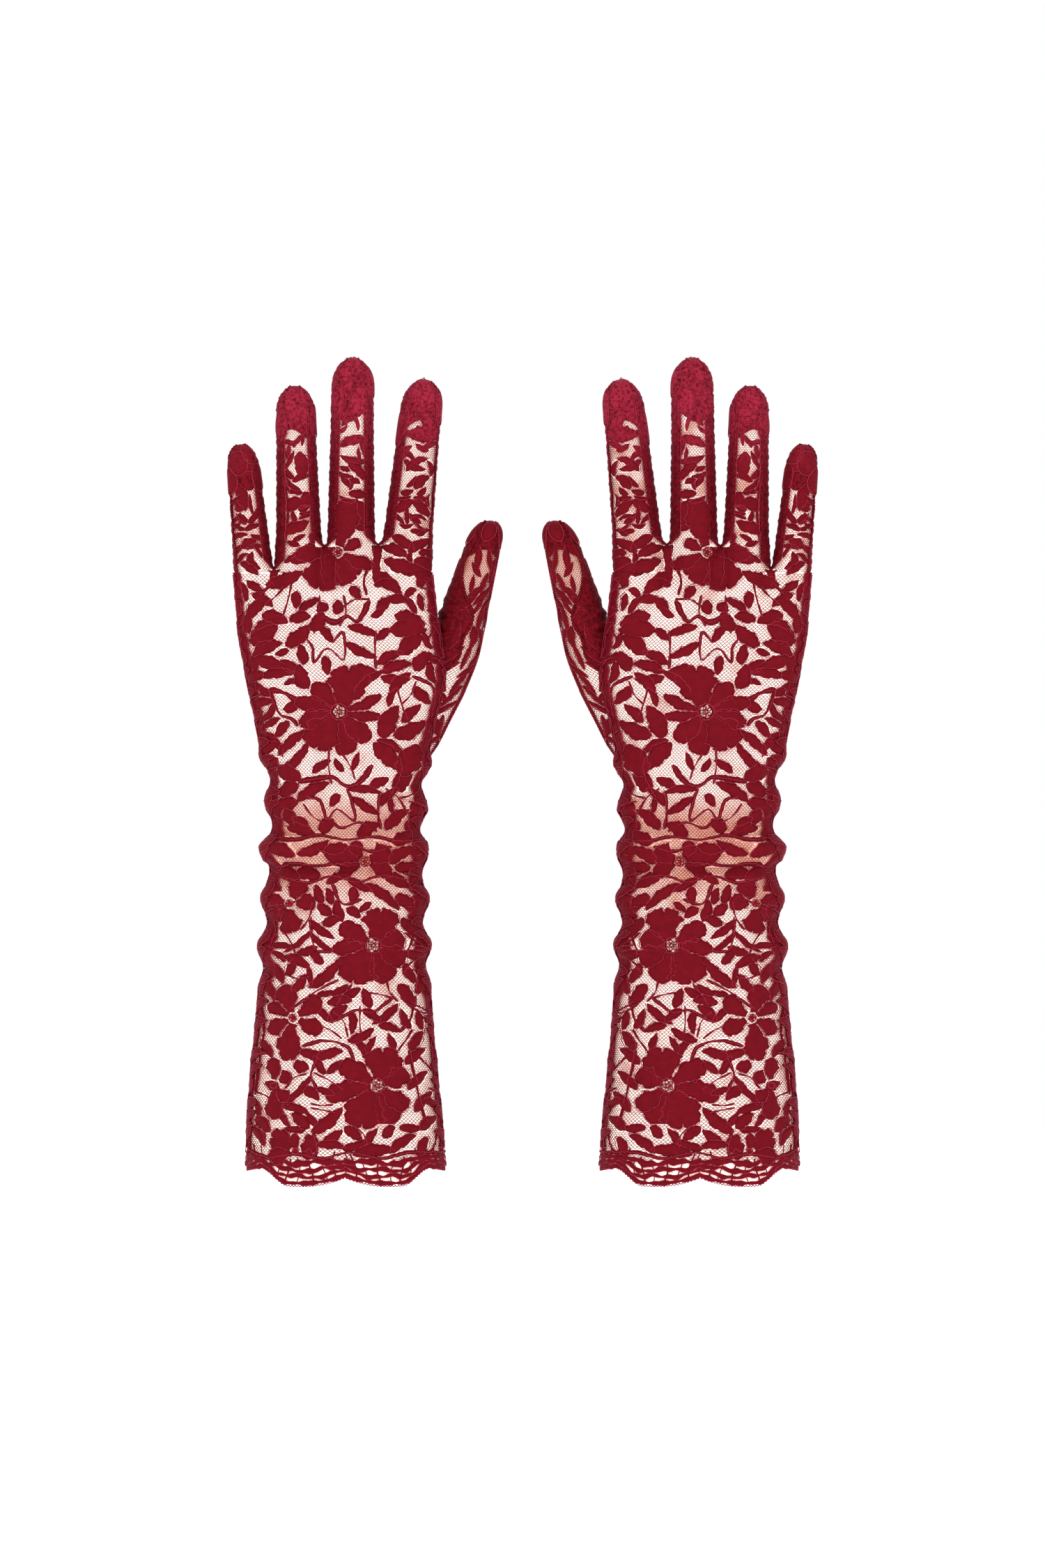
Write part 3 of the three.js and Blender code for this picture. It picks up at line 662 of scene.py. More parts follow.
# Leaves: stalk, tip, half width and bend.
LEAVES = [
    # back of the hand, outer side
    (-43.5, 252, -36, 260, 2.2, .1), (-41.8, 243, -27, 251, 2.0, .25), (-37, 252.5, -26.5, 249.5, 2.3, .2),
    (-42.7, 241.5, -31, 248, 2.9, -.15), (-41, 235, -29, 240, 2.3, .2), (-40, 234, -28, 231, 2.4, -.1),
    (-29, 232, -20.5, 226.5, 1.9, .15), (-37, 225.5, -23.5, 227, 1.8, .15), (-27, 222, -18, 224, 1.1, .2),
    (-26.5, 240, -16.5, 248, 2.6, -.15), (-16.5, 221, -20, 230.5, 2.7, .3),
    (-37.5, 206.5, -32, 215, 1.3, -.3), (-36.5, 203, -29.5, 207, 1.3, .1),
    (-37, 200.5, -28.5, 190.5, 1.4, .3), (-29, 191, -17, 201, 1.8, .2), (-28.5, 184, -17, 196.5, 1.7, -.2),
    (-38.5, 219.5, -34, 217, 1.6, .2),
    # above the flower
    (-20.5, 254.5, -12, 260, 1.5, .15), (-24.5, 250.5, -16, 252, 2.0, .2),
    (-15.5, 246.5, -10.5, 254, 2.6, -.2), (-11.5, 247.5, -6.2, 241, 1.6, .1),
    (1.3, 247.5, 13.5, 243.5, 1.6, .15), (0.5, 240.5, 13, 234.5, 1.7, -.12), (3.5, 230, 13, 228, 2.3, -.2),
    (14, 242, 20, 246, 1.6, .2),
    # thumb side of the hand
    (20, 246, 35, 246, 3.2, .12), (22, 252.5, 34.5, 248.5, 2.4, .15), (24, 235.5, 34, 243, 2.9, .15),
    (14.5, 231, 24.5, 236, 1.8, .2), (31, 228.5, 36.5, 236, 2.7, .1), (4.5, 219, 17, 228, 1.4, .12),
    (16.5, 227.5, 28.5, 231, 2.0, .2), (16, 225.5, 28, 224.5, 1.8, -.15), (20, 219, 28.5, 226.5, 2.1, .15),
    (30.5, 221, 37.5, 214, 2.0, -.1), (17, 198.5, 23, 211.5, 3.4, .2), (21.5, 200, 34.5, 205.5, 2.8, -.2),
    (25.2, 205.5, 33, 212.5, 2.0, .1), (12.5, 195.5, 23.5, 184.5, 3.2, .1), (14, 197, 25, 190, 1.3, .35),
    (25, 182, 32, 194.5, 4.2, .1), (21.5, 175.5, 29.5, 181.5, 3.2, .1), (34, 190, 37, 202, 2.2, -.1),
    # wrist
    (-14.3, 183, -7, 188, 1.5, .15), (-31, 183.5, -20.5, 180, 3.2, .15), (-30, 175, -21.5, 178, 2.8, -.15),
    (-21, 170.5, -8, 178, 2.1, .15), (3.5, 172, 14.5, 165, 1.6, -.1), (1.3, 175.5, 15, 174, 1.4, .15),
    (15, 168.5, 23, 175.5, 1.6, .2), (-29.5, 168, -21.5, 169.5, 2.6, .1),
    (-28.5, 163.5, -22, 162.5, 2.8, .1), (-23, 163, -16.5, 157.5, 1.9, .1),
    (-26.5, 158.5, -13.5, 155, 1.9, .15), (-31, 150, -22, 146, 2.4, .1), (-20, 147, -8, 152.5, 1.8, -.2),
    (18, 158, 27, 166, 2.3, .15), (20, 152, 29, 157, 2.2, -.1), (6, 154.5, 14.5, 160, 2.4, .2),
    (20, 143, 28.5, 149, 2.4, .2), (-12, 158, -6, 162.5, 2.4, -.2), (-30, 139, -20.5, 136, 2.6, .1),
    (-8, 134, 1.5, 138.5, 1.6, .1), (17, 137, 28, 132, 2.2, .15),
    # sleeve
    (-22, 139, -11.5, 137, 2.6, .1), (9, 133, 23, 122.5, 1.8, .15), (1, 136.5, 11, 131, 1.4, -.1),
    (-12.5, 124, -6.5, 120, 2.0, .1), (-10, 115.5, -2.5, 118, 1.8, .15), (-16, 117.5, -5.5, 110, 1.5, -.1),
    (-15.5, 113, -27, 104, 1.1, .15), (-15.5, 113, -5.5, 104.5, 1.1, -.25),
    (-27, 101, -16.5, 96.5, 1.8, .25), (-17, 97, -15.5, 88.5, 1.2, .1), (-16, 88.5, -2.5, 101, 2.0, -.2),
    (-7.5, 80.5, 2.5, 82, 1.8, .2), (-0.5, 83, 6.5, 87, 1.6, .1), (-7, 73, 0.5, 79.5, 1.8, .15),
    (23.5, 88.5, 30, 79.5, 2.3, .15), (23, 80.5, 12.5, 72.5, 1.5, .15), (1.5, 64.5, 12, 69.5, 1.6, -.15),
    (15, 71, 24, 68.5, 1.5, .15), (8, 78, 15, 73, 1.6, .1), (-20, 60, -7.5, 58.5, 1.8, -.2),
    (-12, 56, -1.5, 59.5, 1.8, .2), (-9, 50, -13.5, 57.5, 1.4, .1), (-23, 53.5, -16.5, 52, 2.3, .1),
    (-15.4, 49, -28.5, 35.5, 1.3, .12), (-12.5, 43, -5, 40.5, 1.2, .1), (-27.5, 35, -16.5, 32, 1.6, .2),
    (-17, 32, -12.5, 25.5, 1.4, .1), (-14.5, 24.5, -2, 34.5, 2.3, -.15), (4, 14, 21, 15.5, 2.3, .15),
    (20.5, 15, 31, 22, 1.9, .2), (-12, 18, -0.5, 17, 1.6, .2), (-1, 17, 9, 20.5, 1.6, -.2),
    (29, 60, 34, 68, 1.9, .1), (27, 54, 35, 60, 1.9, .15), (28, 43, 36, 50, 1.8, .1),
    (31, 33, 38, 41, 1.9, .1), (33, 25, 40, 30, 2.0, .1), (29, 70, 25, 78, 1.6, .2),
    (26, 98, 30, 90, 2.0, .1), (25, 118, 31, 110, 2.2, .15), (-33, 98, -28, 90, 1.8, .1),
    (-36, 90, -32, 82, 1.8, .2), (-38, 64, -33, 57, 1.8, .1), (-40, 30, -34, 24, 2.2, .1),
    (22, 128, 29, 124, 2.2, .1),
    # fingers
    (16.5, 283, 26.5, 279, 2.0, .2), (17.5, 277.5, 36, 272.5, 2.6, -.12), (12.5, 271.5, 24, 262.5, 2.4, .1),
    (28, 281, 37.5, 286, 1.8, .15), (20.5, 287.5, 29.5, 281.5, 1.9, .2), (13, 266, 22, 268, 1.4, .15),
    (22.5, 299, 29.8, 303.5, 1.8, .15), (29.8, 303.5, 36.5, 297, 1.9, .15), (27, 317, 36, 322, 1.4, .3),
    (26, 322, 35, 318, 1.3, -.3), (31, 309, 37, 314, 1.8, .3), (-2.5, 328, 9.5, 330.5, 1.7, .25),
    (-2, 323.5, 9.5, 321.5, 1.3, -.2), (1.3, 320.5, 9.8, 312.5, 1.7, .1), (-2.5, 315, 1.5, 309.5, 1.1, .1),
    (1.5, 306.5, 9.8, 305, 1.6, .25), (-29, 301, -16.5, 302.5, 2.3, .12), (-28, 291, -17, 294.5, 2.2, -.15),
    (-21, 325, -19.5, 314, 2.6, .1), (-28, 323, -25, 308, 1.0, -.2), (-35, 266.5, -20, 272, 2.5, -.1),
    (-46, 283, -40, 286, 1.8, .2), (-47, 276, -39.5, 271, 1.5, .15), (-48.5, 299, -43, 304, 2.0, .2),
    (-49.5, 311, -45, 300, 2.0, .2), (-41.5, 262, -33, 257, 1.8, .15), (-44, 268, -37, 264, 1.5, -.1),
]
# Round petals that stand alone: middle, turn, length, half width.
PETALS = [
    (-3, 299, 90, 14, 5.6), (-26.5, 340, 60, 12, 4.6), (3.5, 342, 20, 13, 5.4), (31.5, 347, 10, 12, 4.6),
    (33, 265, 0, 14, 4.6), (26, 334, 90, 13, 3.6), (35, 344, 160, 14, 3.4), (-25, 276.5, 60, 13, 3.6),
    (-22, 303, 70, 9, 3.4), (-46, 318, 60, 10, 4.4), (-13, 254, 40, 6, 2.6),
]
# Stems: the points they run through and their half width.
STEMS = [
    ([(-31, 141.2), (-22, 142.6), (-13, 141.6), (-4, 142.4), (4, 140.6)], 1.0),
    ([(-12, 149), (-4, 146.5), (3, 150.5), (11, 148), (20, 150)], 0.9),
    ([(-28, 137), (-17, 134.2), (-6, 137.2), (5, 134.5), (16, 137.4), (27, 135)], 0.8),
    ([(-9, 163.5), (-2, 158.6), (6, 161), (14, 157)], 0.9),
    ([(-33, 154.5), (-22, 153.2), (-12, 155.4), (0, 153.2), (12, 154.6), (22, 152.6), (33, 153.5)], 1.1),
    ([(-11.6, 262), (-12.5, 251.5), (-14.2, 244.6)], 0.6),
    ([(-10, 252.3), (-4.8, 249.6), (0.4, 252.4), (5.6, 250.4), (10.5, 259.5)], 1.5),
    ([(-17.7, 243), (-14.6, 238), (-14.2, 231.7), (-8.2, 238.4), (-0.8, 233), (-1.2, 245.5), (-5.5, 241)],
     0.75),
    ([(13.3, 246), (13.0, 238), (13.4, 229)], 0.8),
    ([(-34, 219.5), (-29.7, 209.3), (-23.7, 206.7), (-21.5, 203.5)], 1.0),
    ([(-34.5, 219.6), (-29, 219), (-21.5, 215)], 1.5),
    ([(29.5, 226), (39.0, 220.5), (37.6, 207)], 1.0),
    ([(-7.3, 194), (-7.6, 186), (-6.3, 178)], 0.6),
    ([(-21.3, 179), (-13.3, 180.2), (-5.6, 181), (0.4, 177), (6.4, 179), (12, 186.5)], 1.5),
    ([(-17, 172.5), (-11.2, 170.4), (-8.3, 162), (-3.9, 167), (4.2, 161.6), (2.2, 172), (0.4, 176)], 0.85),
    ([(15, 174), (14.6, 166), (15.6, 158)], 0.9),
    ([(23.5, 190), (24.4, 183), (19, 172)], 0.9),
    ([(-6, 134), (-1.4, 125), (7.3, 127)], 1.0),
    ([(-15.5, 119), (-15.3, 113), (-13, 104.5), (-5.5, 104)], 0.8),
    ([(-24, 78.5), (-13.5, 86), (-3, 91.5)], 0.7),
    ([(-12, 57), (-15.3, 49.5), (-12.3, 42.5)], 0.9),
    ([(-5, 73), (5, 78), (12, 77), (22, 84)], 0.9),
    ([(3, 89.5), (-1.5, 84), (-4, 80)], 0.7),
    ([(-19.5, 62), (-9, 64.5), (0.5, 62), (4, 56)], 1.0),
    ([(24, 68), (29, 74), (31, 84)], 0.9),
    ([(-14.5, 24.5), (-12.5, 17), (-14, 12)], 0.9),
    ([(28, 60), (30.5, 50), (33, 38), (36, 28)], 0.8),
    ([(-39, 84), (-36.5, 70), (-38.5, 56), (-40.5, 40)], 0.8),
    ([(-44, 16), (-34, 12.6), (-22, 14.4), (-10, 12.6), (2, 15.2), (16, 12.4), (28, 15), (43, 14.5)], 1.0),
    ([(-27, 286), (-26, 300), (-28, 318)], 0.8),
    ([(-1, 262), (0, 254), (-3, 248)], 0.7),
    ([(9.5, 262), (8, 268), (10, 274)], 0.8),
    ([(-38, 262), (-32, 268), (-24, 271)], 0.8),
]
# Petals on the fingertips, little finger to index, and on the thumb's: degrees around, how far below
# the top, half length and half width.
TIP_PETALS = [
    [(-20, 12, 5, 4.5), (30, 7, 5, 4), (-60, 20, 6, 4), (60, 18, 6, 4), (180, 12, 6, 5)],
    [(-15, 10, 6, 5), (40, 9, 5, 4), (-50, 22, 6, 4), (70, 20, 7, 4), (180, 14, 6, 5)],
    [(-25, 9, 7, 4.5), (20, 7, 6, 4), (-45, 24, 8, 3.5), (65, 16, 7, 4), (185, 14, 6, 5)],
    [(-28, 7, 6, 4), (20, 12, 6, 4.5), (72, 17, 8, 4), (-60, 26, 8, 3.5), (175, 14, 6, 5)],
    [(10, 8, 5, 4), (80, 10, 6, 4), (170, 9, 6, 4), (-70, 9, 5, 4)],
]
TIP_STARTS = (9, 10, 14, 8)  # how far below each dome's foot the solid fingertip begins


def lay_pattern(side):
    """The motifs of the back of a glove; the palm has the same lace turned over."""
    pattern = Pattern(side)
    turned = -1 if side > 0 else 1

    def across(x, z):
        centre = float(arm_section(min(z, KNUCKLE))[0])
        return centre + turned * (x - centre)

    for x0, z0, x1, z1, half, bend in LEAVES:
        if side > 0 and max(z0, z1) > KNUCKLE - 2:
            continue
        pattern.leaf(across(x0, z0), z0, across(x1, z1), z1, half, bend * turned,
                     "l" if pattern.random.random() < 0.75 else "lr")
    for places, half in STEMS:
        if side > 0 and max(z for _, z in places) > KNUCKLE - 2:
            continue
        pattern.stem([(across(x, z), z) for x, z in places], half)
    for x, z, petals, button in FLOWERS:
        if side > 0 and z > KNUCKLE:
            continue
        pattern.flower(across(x, z), z, [(turned * p[0], *p[1:]) for p in petals], button)
    for x, z, turn, length, half in PETALS:
        if side < 0 or z < KNUCKLE - 12:
            pattern.petal(across(x, z), z, turned * turn, length, half, start=0.4)
    if side > 0:
        finger_palms(pattern)
    crotch_patches(pattern)
    finger_fill(pattern, side)
    fill_gaps(pattern, side)
    return pattern


def crotch_patches(pattern):
    """Solid lace where the seams of two fingers meet."""
    for i, crotch in enumerate(CROTCHES):
        heights = (-6.0, 0.0, crotch * 0.5, crotch - 0.2)
        spine = [(float(crotch_between(i, height)[0]), KNUCKLE + height) for height in heights]
        pattern.blade(spine, np.array([0.3, 1.2, 1.9, 1.7, 1.9, 2.5]), crown=0.2, edges="l")


def finger_fill(pattern, side):
    """Small leaves and curls on the net of the fingers."""
    random = np.random.default_rng(FINGER_SEED + side)
    tries = 90
    for stall in FINGERS:
        outward = {"little": -0.85, "index": 0.85}.get(stall.name, 0)
        for _ in range(tries):
            height = random.uniform(4, stall.straight - 10)
            low, high = min(-0.5, outward), max(0.5, outward)
            x = float(stall.centre(height) + random.uniform(low, high) * stall.radius(height))
            z = KNUCKLE + height
            turn = random.uniform(0, math.pi)
            reach, half = random.uniform(2.4, 4.2), random.uniform(0.6, 1.2)
            dx, dz = reach * math.cos(turn), reach * math.sin(turn)
            near = np.array([(0, 0), (0.5, 0.5), (-0.5, -0.5), (1, 1), (-1, -1)]) * (dx, dz)
            if pattern.covered(x + near[:, 0], z + near[:, 1]).sum() > 1:
                continue
            pattern.leaf(x - dx, z - dz, x + dx, z + dz, half, random.uniform(-0.4, 0.4))


def fill_gaps(pattern, side):
    """Small curved leaves where a wide stretch of net would be left bare."""
    random = np.random.default_rng(GAP_SEED + side)
    a = np.linspace(0, 2 * math.pi, 12, endpoint=False)
    tries = 3600
    for _ in range(tries):
        z = random.uniform(16, KNUCKLE - 8)
        centre, half_width, _, _ = (float(v) for v in arm_section(z))
        x = centre + random.uniform(-0.94, 0.94) * half_width
        length, half, turn = random.uniform(6, 9.5), random.uniform(1.1, 2.1), random.uniform(0, 2 * math.pi)
        middle = abs(x - centre) < 0.6 * half_width
        clear = 4.6 if middle and z > 130 else 2.8
        around = np.stack([x + clear * np.cos(a), z + clear * np.sin(a)])
        near = np.stack([x + 0.5 * clear * np.cos(a), z + 0.5 * clear * np.sin(a)])
        if pattern.covered(*around).mean() > 0.35 or pattern.covered(*near).any():
            continue
        dx, dz = 0.5 * length * math.cos(turn), 0.5 * length * math.sin(turn)
        if random.random() < 0.35:  # a thin branch that wanders off towards its neighbours
            bow = random.uniform(-0.5, 0.5)
            ends = [(x + k * dx, z + k * dz) for k in (-1.7, 1.7)]
            pattern.stem([ends[0], (x - bow * dz, z + bow * dx), ends[1]], 0.55)
        else:
            pattern.leaf(x - dx, z - dz, x + dx, z + dz, half, random.uniform(-0.3, 0.3))


def finger_palms(pattern):
    """Leaves and round petals up the palm side of each finger."""
    for k, stall in enumerate(FINGERS):
        for n, height in enumerate(np.arange(7, stall.straight - 16, 14.0)):
            x, z, r = float(stall.centre(height)), KNUCKLE + height, float(stall.radius(height))
            way = 1 if (n + k) % 2 else -1
            turn = 60 * way + 25 * math.sin(n * 2.3 + k)
            pattern.petal(x - way * 0.35 * r, z - 2, turn, 8.5, 3.4, start=0.4)
            pattern.leaf(x + way * 0.5 * r, z + 4, x - way * 0.3 * r, z + 11.5, 1.5, -0.25 * way)
    for x, z in ((-30, 262), (-8, 263), (16, 262)):
        pattern.petal(x, z, 20, 13, 5)
        pattern.petal(x, z, -70, 10, 3.6)
        pattern.petal(x, z, 120, 12, 4)


# ---- finishes ----
class Socket:
    """A node output that takes part in Python expressions; numbers go to Math nodes."""

    def __init__(self, tree, output):
        self.tree, self.output = tree, output

    def node(self, kind, settings=None, **inputs):
        """Adds a node; settings come first, then values or links by socket name or index."""
        made = self.tree.nodes.new(kind)
        for key, value in (settings or {}).items():
            if key == "stops":
                ramp = made.color_ramp
                while len(ramp.elements) < len(value):
                    ramp.elements.new(0.5)
                for element, (place, colour) in zip(ramp.elements, value):
                    element.position, element.color = place, (*colour, 1)
            else:
                setattr(made, key, value)
        for key, value in inputs.items():
            place = int(key[1:]) if key[0] == "i" and key[1:].isdigit() else key.replace("_", " ")
            if isinstance(value, Socket):
                self.tree.links.new(value.output, made.inputs[place])
            else:
                made.inputs[place].default_value = value
        return made

    def out(self, made, name=0):
        return Socket(self.tree, made.outputs[name])

    def feed(self, shader, name):
        """Links this output to one of the shader's sockets."""
        self.tree.links.new(self.output, shader.inputs[name])

    def maths(self, operation, *values):
        inputs = {f"i{k}": value for k, value in enumerate(values)}
        return self.out(self.node("ShaderNodeMath", {"operation": operation}, **inputs))

    def __add__(self, other):
        return self.maths("ADD", self, other)

    def __sub__(self, other):
        return self.maths("SUBTRACT", self, other)

    def __rsub__(self, other):
        return self.maths("SUBTRACT", other, self)

    def __mul__(self, other):
        return self.maths("MULTIPLY", self, other)

    def __truediv__(self, other):
        return self.maths("DIVIDE", self, other)

    __radd__, __rmul__ = __add__, __mul__

    def __abs__(self):
        return self.maths("ABSOLUTE", self)

    def between(self, low, high):
        """0 below low, 1 above high."""
        made = self.node("ShaderNodeMapRange", {"interpolation_type": "SMOOTHSTEP"},
                         Value=self, From_Min=low, From_Max=high)
        return self.out(made)

    def mix(self, first, second):
        """A colour between two, by this socket."""
        made = self.node("ShaderNodeMix", {"data_type": "RGBA"}, i0=self)
        for place, value in ((6, first), (7, second)):
            if isinstance(value, Socket):
                self.tree.links.new(value.output, made.inputs[place])
            else:
                made.inputs[place].default_value = (*value, 1)
        return self.out(made, 2)

    def noise(self, size, detail=2.0):
        """Even mottling with spots of about the given size in metres."""
        made = self.node("ShaderNodeTexNoise", Vector=self, Scale=1 / size, Detail=detail)
        return self.out(made, "Fac")

    def waves(self, pitch, direction):
        """Fine ribs with the given pitch in metres."""
        made = self.node("ShaderNodeTexWave", {"bands_direction": direction, "wave_profile": "SIN"},
                         Vector=self, Scale=math.pi / 10 / pitch, Distortion=1.2, Detail=1.0,
                         Detail_Scale=2.0)
        return self.out(made, "Fac")


def new_finish(name):
    """A material, its shader node and the piece's own coordinates."""
    material = bpy.data.materials.new(name)
    material.use_nodes = True
    tree = material.node_tree
    shader = tree.nodes["Principled BSDF"]
    start = Socket(tree, None)
    return material, shader, start.out(start.node("ShaderNodeTexCoord"), "Object")


def bump(shader, height, strength, distance):
    made = height.node("ShaderNodeBump", Height=height, Strength=strength, Distance=distance)
    height.out(made, "Normal").feed(shader, "Normal")


def times(colour, *factors):
    """A colour with each part multiplied, kept below 1."""
    return [min(part * factor, 1) for part, factor in zip(colour, factors)]


def set_cloth(shader, roughness, sheen, tint):
    """The soft shine of cloth, which shows most along its edges."""
    shader.inputs["Roughness"].default_value = roughness
    shader.inputs["Sheen Weight"].default_value = sheen
    shader.inputs["Sheen Roughness"].default_value = 0.24
    shader.inputs["Sheen Tint"].default_value = (*tint, 1)
    shader.inputs["Specular IOR Level"].default_value = 0.05


def painted_tip_highlight(place):
    """Mask for a painted highlight: 1 over the fingertips, which catch more light, and 0 below them."""
    parts = place.node("ShaderNodeSeparateXYZ", Vector=place)
    return place.out(parts, "Z").between(0.31, 0.35) * place.noise(0.0014).between(0.3, 0.6)


def petal_finish(colours):
    """Densely woven petals and leaves: fine ribs across, mottled crimson, with a painted highlight over the
    fingertips.
    """
    material, shader, place = new_finish("woven_petal")
    ribs = place.waves(0.00076, "Z")
    mottle = place.noise(0.0035)
    fine = place.noise(0.0004)
    deep = [c * 0.66 for c in colours.petal]
    colour = (ribs * 0.35 + mottle * 0.65).between(0.25, 0.8).mix(deep, tuple(colours.petal))
    # painted highlight: the petals turn a paler pink over the fingertips
    painted_tip_highlight(place).mix(colour, times(colours.petal, 1.75, 5, 4.2)).feed(shader, "Base Color")
    bump(shader, ribs * 0.6 + fine * 0.5, 0.6, 0.00025)
    set_cloth(shader, 0.72, 0.17, colours.sheen)
    return material


def net_finish(colours):
    """Fine twisted thread."""
    material, shader, place = new_finish("net_thread")
    deep = [c * 0.8 for c in colours.thread]
    place.noise(0.002).between(0.3, 0.7).mix(deep, tuple(colours.thread)).feed(shader, "Base Color")
    bump(shader, place.noise(0.0003), 0.3, 0.0001)
    set_cloth(shader, 0.8, 0.04, colours.sheen)
    return material


def cord_finish(colours):
    """Twisted outline cord, paler than the petals."""
    material, shader, place = new_finish("outline_cord")
    twist = place.noise(0.0007)
    deep = [c * 0.6 for c in colours.cord]
    twist.between(0.3, 0.7).mix(deep, tuple(colours.cord)).feed(shader, "Base Color")
    bump(shader, twist, 0.5, 0.0002)
    set_cloth(shader, 0.65, 0.16, colours.sheen)
    return material


def fourchette_finish(colours):
    """Coarse gathered lace of the side strips and fingertips, with a painted highlight on its lumps over the
    fingertips.
    """
    material, shader, place = new_finish("gathered_lace")
    coarse = place.noise(0.0016, 3.0)
    fine = place.noise(0.0006)
    deep = [c * 0.42 for c in colours.petal]
    colour = (coarse * 0.7 + fine * 0.3).between(0.38, 0.62).mix(deep, tuple(colours.petal))
    # painted highlight: paler pink lumps over the fingertips
    tip_highlight_colour = times(colours.petal, 2.2, 7, 6)
    (painted_tip_highlight(place) * coarse).mix(colour, tip_highlight_colour).feed(shader, "Base Color")
    bump(shader, coarse * 0.8 + fine * 0.4, 0.9, 0.0006)
    set_cloth(shader, 0.75, 0.14, colours.sheen)
    return material


def lining_finish(colours):
    """Smooth ivory knit, with painted shade that makes it warmer and darker towards the wrist, up the
    fingers, near the thumbs and in soft patches, and a faint painted glow of its own.
    """
    material, shader, place = new_finish("lining_knit")
    parts = place.node("ShaderNodeSeparateXYZ", Vector=place)
    height = place.out(parts, "Z")
    from_middle = abs(place.out(parts, "X"))  # the thumbs are the parts nearest the middle of the pair
    # painted shade: masks for where the lining turns a darker tan, at the wrist, up the fingers, near the
    # thumbs and in soft patches
    thumb = (1 - from_middle.between(0.024, 0.034)) * height.between(0.20, 0.25)
    wrist = height.between(0.112, 0.142) * (1 - height.between(0.16, 0.182))
    fingers = height.between(0.262, 0.30)
    shade_patches = place.noise(0.014).between(0.48, 0.72)
    painted_shade = (wrist * 0.75 + fingers * 0.25 + shade_patches * 0.5 + thumb * 0.6).between(0.0, 1.0)
    painted_shade.mix(tuple(colours.lining), tuple(colours.lining_warm)).feed(shader, "Base Color")
    # painted glow: the lining gives off light of its own, dimmer and warmer where the painted shade lies
    painted_shade.mix((1.0, 0.66, 0.56), (0.62, 0.22, 0.15)).feed(shader, "Emission Color")
    shader.inputs["Emission Strength"].default_value = 0.48
    bump(shader, place.waves(0.0006, "Z") * 0.5 + place.noise(0.0005) * 0.5, 0.3, 0.0001)
    set_cloth(shader, 0.8, 0.0, (1, 1, 1))
    return material


def finishes():
    """The five finishes, made once, in the order of FINISHES."""
    makers = {"woven_petal": petal_finish, "net_thread": net_finish, "outline_cord": cord_finish,
              "gathered_lace": fourchette_finish, "lining_knit": lining_finish}
    colours = bpy.context.scene.glove_colours
    return [bpy.data.materials.get(name) or make(colours) for name, make in makers.items()]


# ---- objects ----
ARM_ROUND, STALL_ROUND = 250, 72  # about how far it is around the arm and around a stall


def unrolled(points, stall=None):
    """Flat coordinates for each vertex: turns around the arm or stall, and height, in millimetres."""
    x, y, z = points.T
    if stall is None:
        centre, half_width, half_depth, _ = arm_section(np.clip(z, 0, KNUCKLE))
        turn = np.arctan2((x - centre) / half_width, -y / half_depth) / (2 * math.pi) + 0.5
        around = ARM_ROUND
    else:
        centre = stall.centre(z - stall.z)
        turn = np.arctan2(x - centre, stall.y - y) / (2 * math.pi) + 0.5
        around = STALL_ROUND
        z = z - 0.6 * np.hypot(x - centre, y - stall.y) * (z > stall.z + stall.straight)
    return turn, z, around


def make_piece(name, cloth, side, stall=None):
    """One mesh object for a glove: the cloth in metres, mirrored for the right hand, with its finishes."""
    points, faces, kinds = cloth.whole()
    turn, height, around = unrolled(points, stall)
    mirror = 1 if side == "left" else -1
    placed = points * (mirror, 1, 1) + (mirror * CUFF_CENTRE, 0, 0)
    placed = placed * MM
    if mirror < 0:
        faces = faces[:, ::-1]
    mesh = bpy.data.meshes.new(name)
    mesh.vertices.add(len(placed))
    mesh.vertices.foreach_set("co", placed.astype(np.float32).ravel())
    mesh.loops.add(faces.size)
    mesh.loops.foreach_set("vertex_index", faces.ravel().astype(np.int32))
    mesh.polygons.add(len(faces))
    mesh.polygons.foreach_set("loop_start", np.arange(0, faces.size, 4, dtype=np.int32))
    used = np.unique(kinds)
    slots = finishes()
    for kind in used:
        mesh.materials.append(slots[kind])
    mesh.polygons.foreach_set("material_index", np.searchsorted(used, kinds).astype(np.int32))
    mesh.update(calc_edges=True)
    mesh.polygons.foreach_set("use_smooth", np.ones(len(faces), bool))
    u = turn[faces]
    u = np.where((u.max(1) - u.min(1) > 0.5)[:, None] & (u < 0.5), u + 1, u)
    low, high = height.min(), height.max()
    size = max(high - low, around * 1.1)
    uv = np.stack([u * around / size * 0.98 + 0.005, (height[faces] - low) / size * 0.98 + 0.01], -1)
    layer = mesh.uv_layers.new(name="OFBake")
    layer.data.foreach_set("uv", uv.astype(np.float32).ravel())
    piece = bpy.data.objects.new(name, mesh)
    bpy.context.scene.collection.objects.link(piece)
    return piece


def at(side, x, y, z):
    """A place on a glove as the frame counts it, in metres."""
    mirror = 1 if side == "left" else -1
    return (mirror * (x + CUFF_CENTRE) * MM, y * MM, z * MM)


def bend_at_wrist(piece, side):
    """Bakes a piece's transform into its mesh; the heights of a blend from the sleeve to the hand are worked
    out but not used, so nothing bends.
    """
    start, end = at(side, 0, 0, WRIST - WRIST_BEND), at(side, 0, 0, WRIST + WRIST_BEND)
    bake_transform(piece)


def bend_at_stall(piece, side, stall):
    """Bakes a piece's transform into its mesh; the heights of a blend from the hand to a finger or thumb are
    worked out but not used, so nothing bends.
    """
    start = at(side, 0, 0, stall.z)
    end = at(side, 0, 0, stall.z + (THUMB_BEND if stall is THUMB else FINGER_BEND))
    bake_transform(piece)


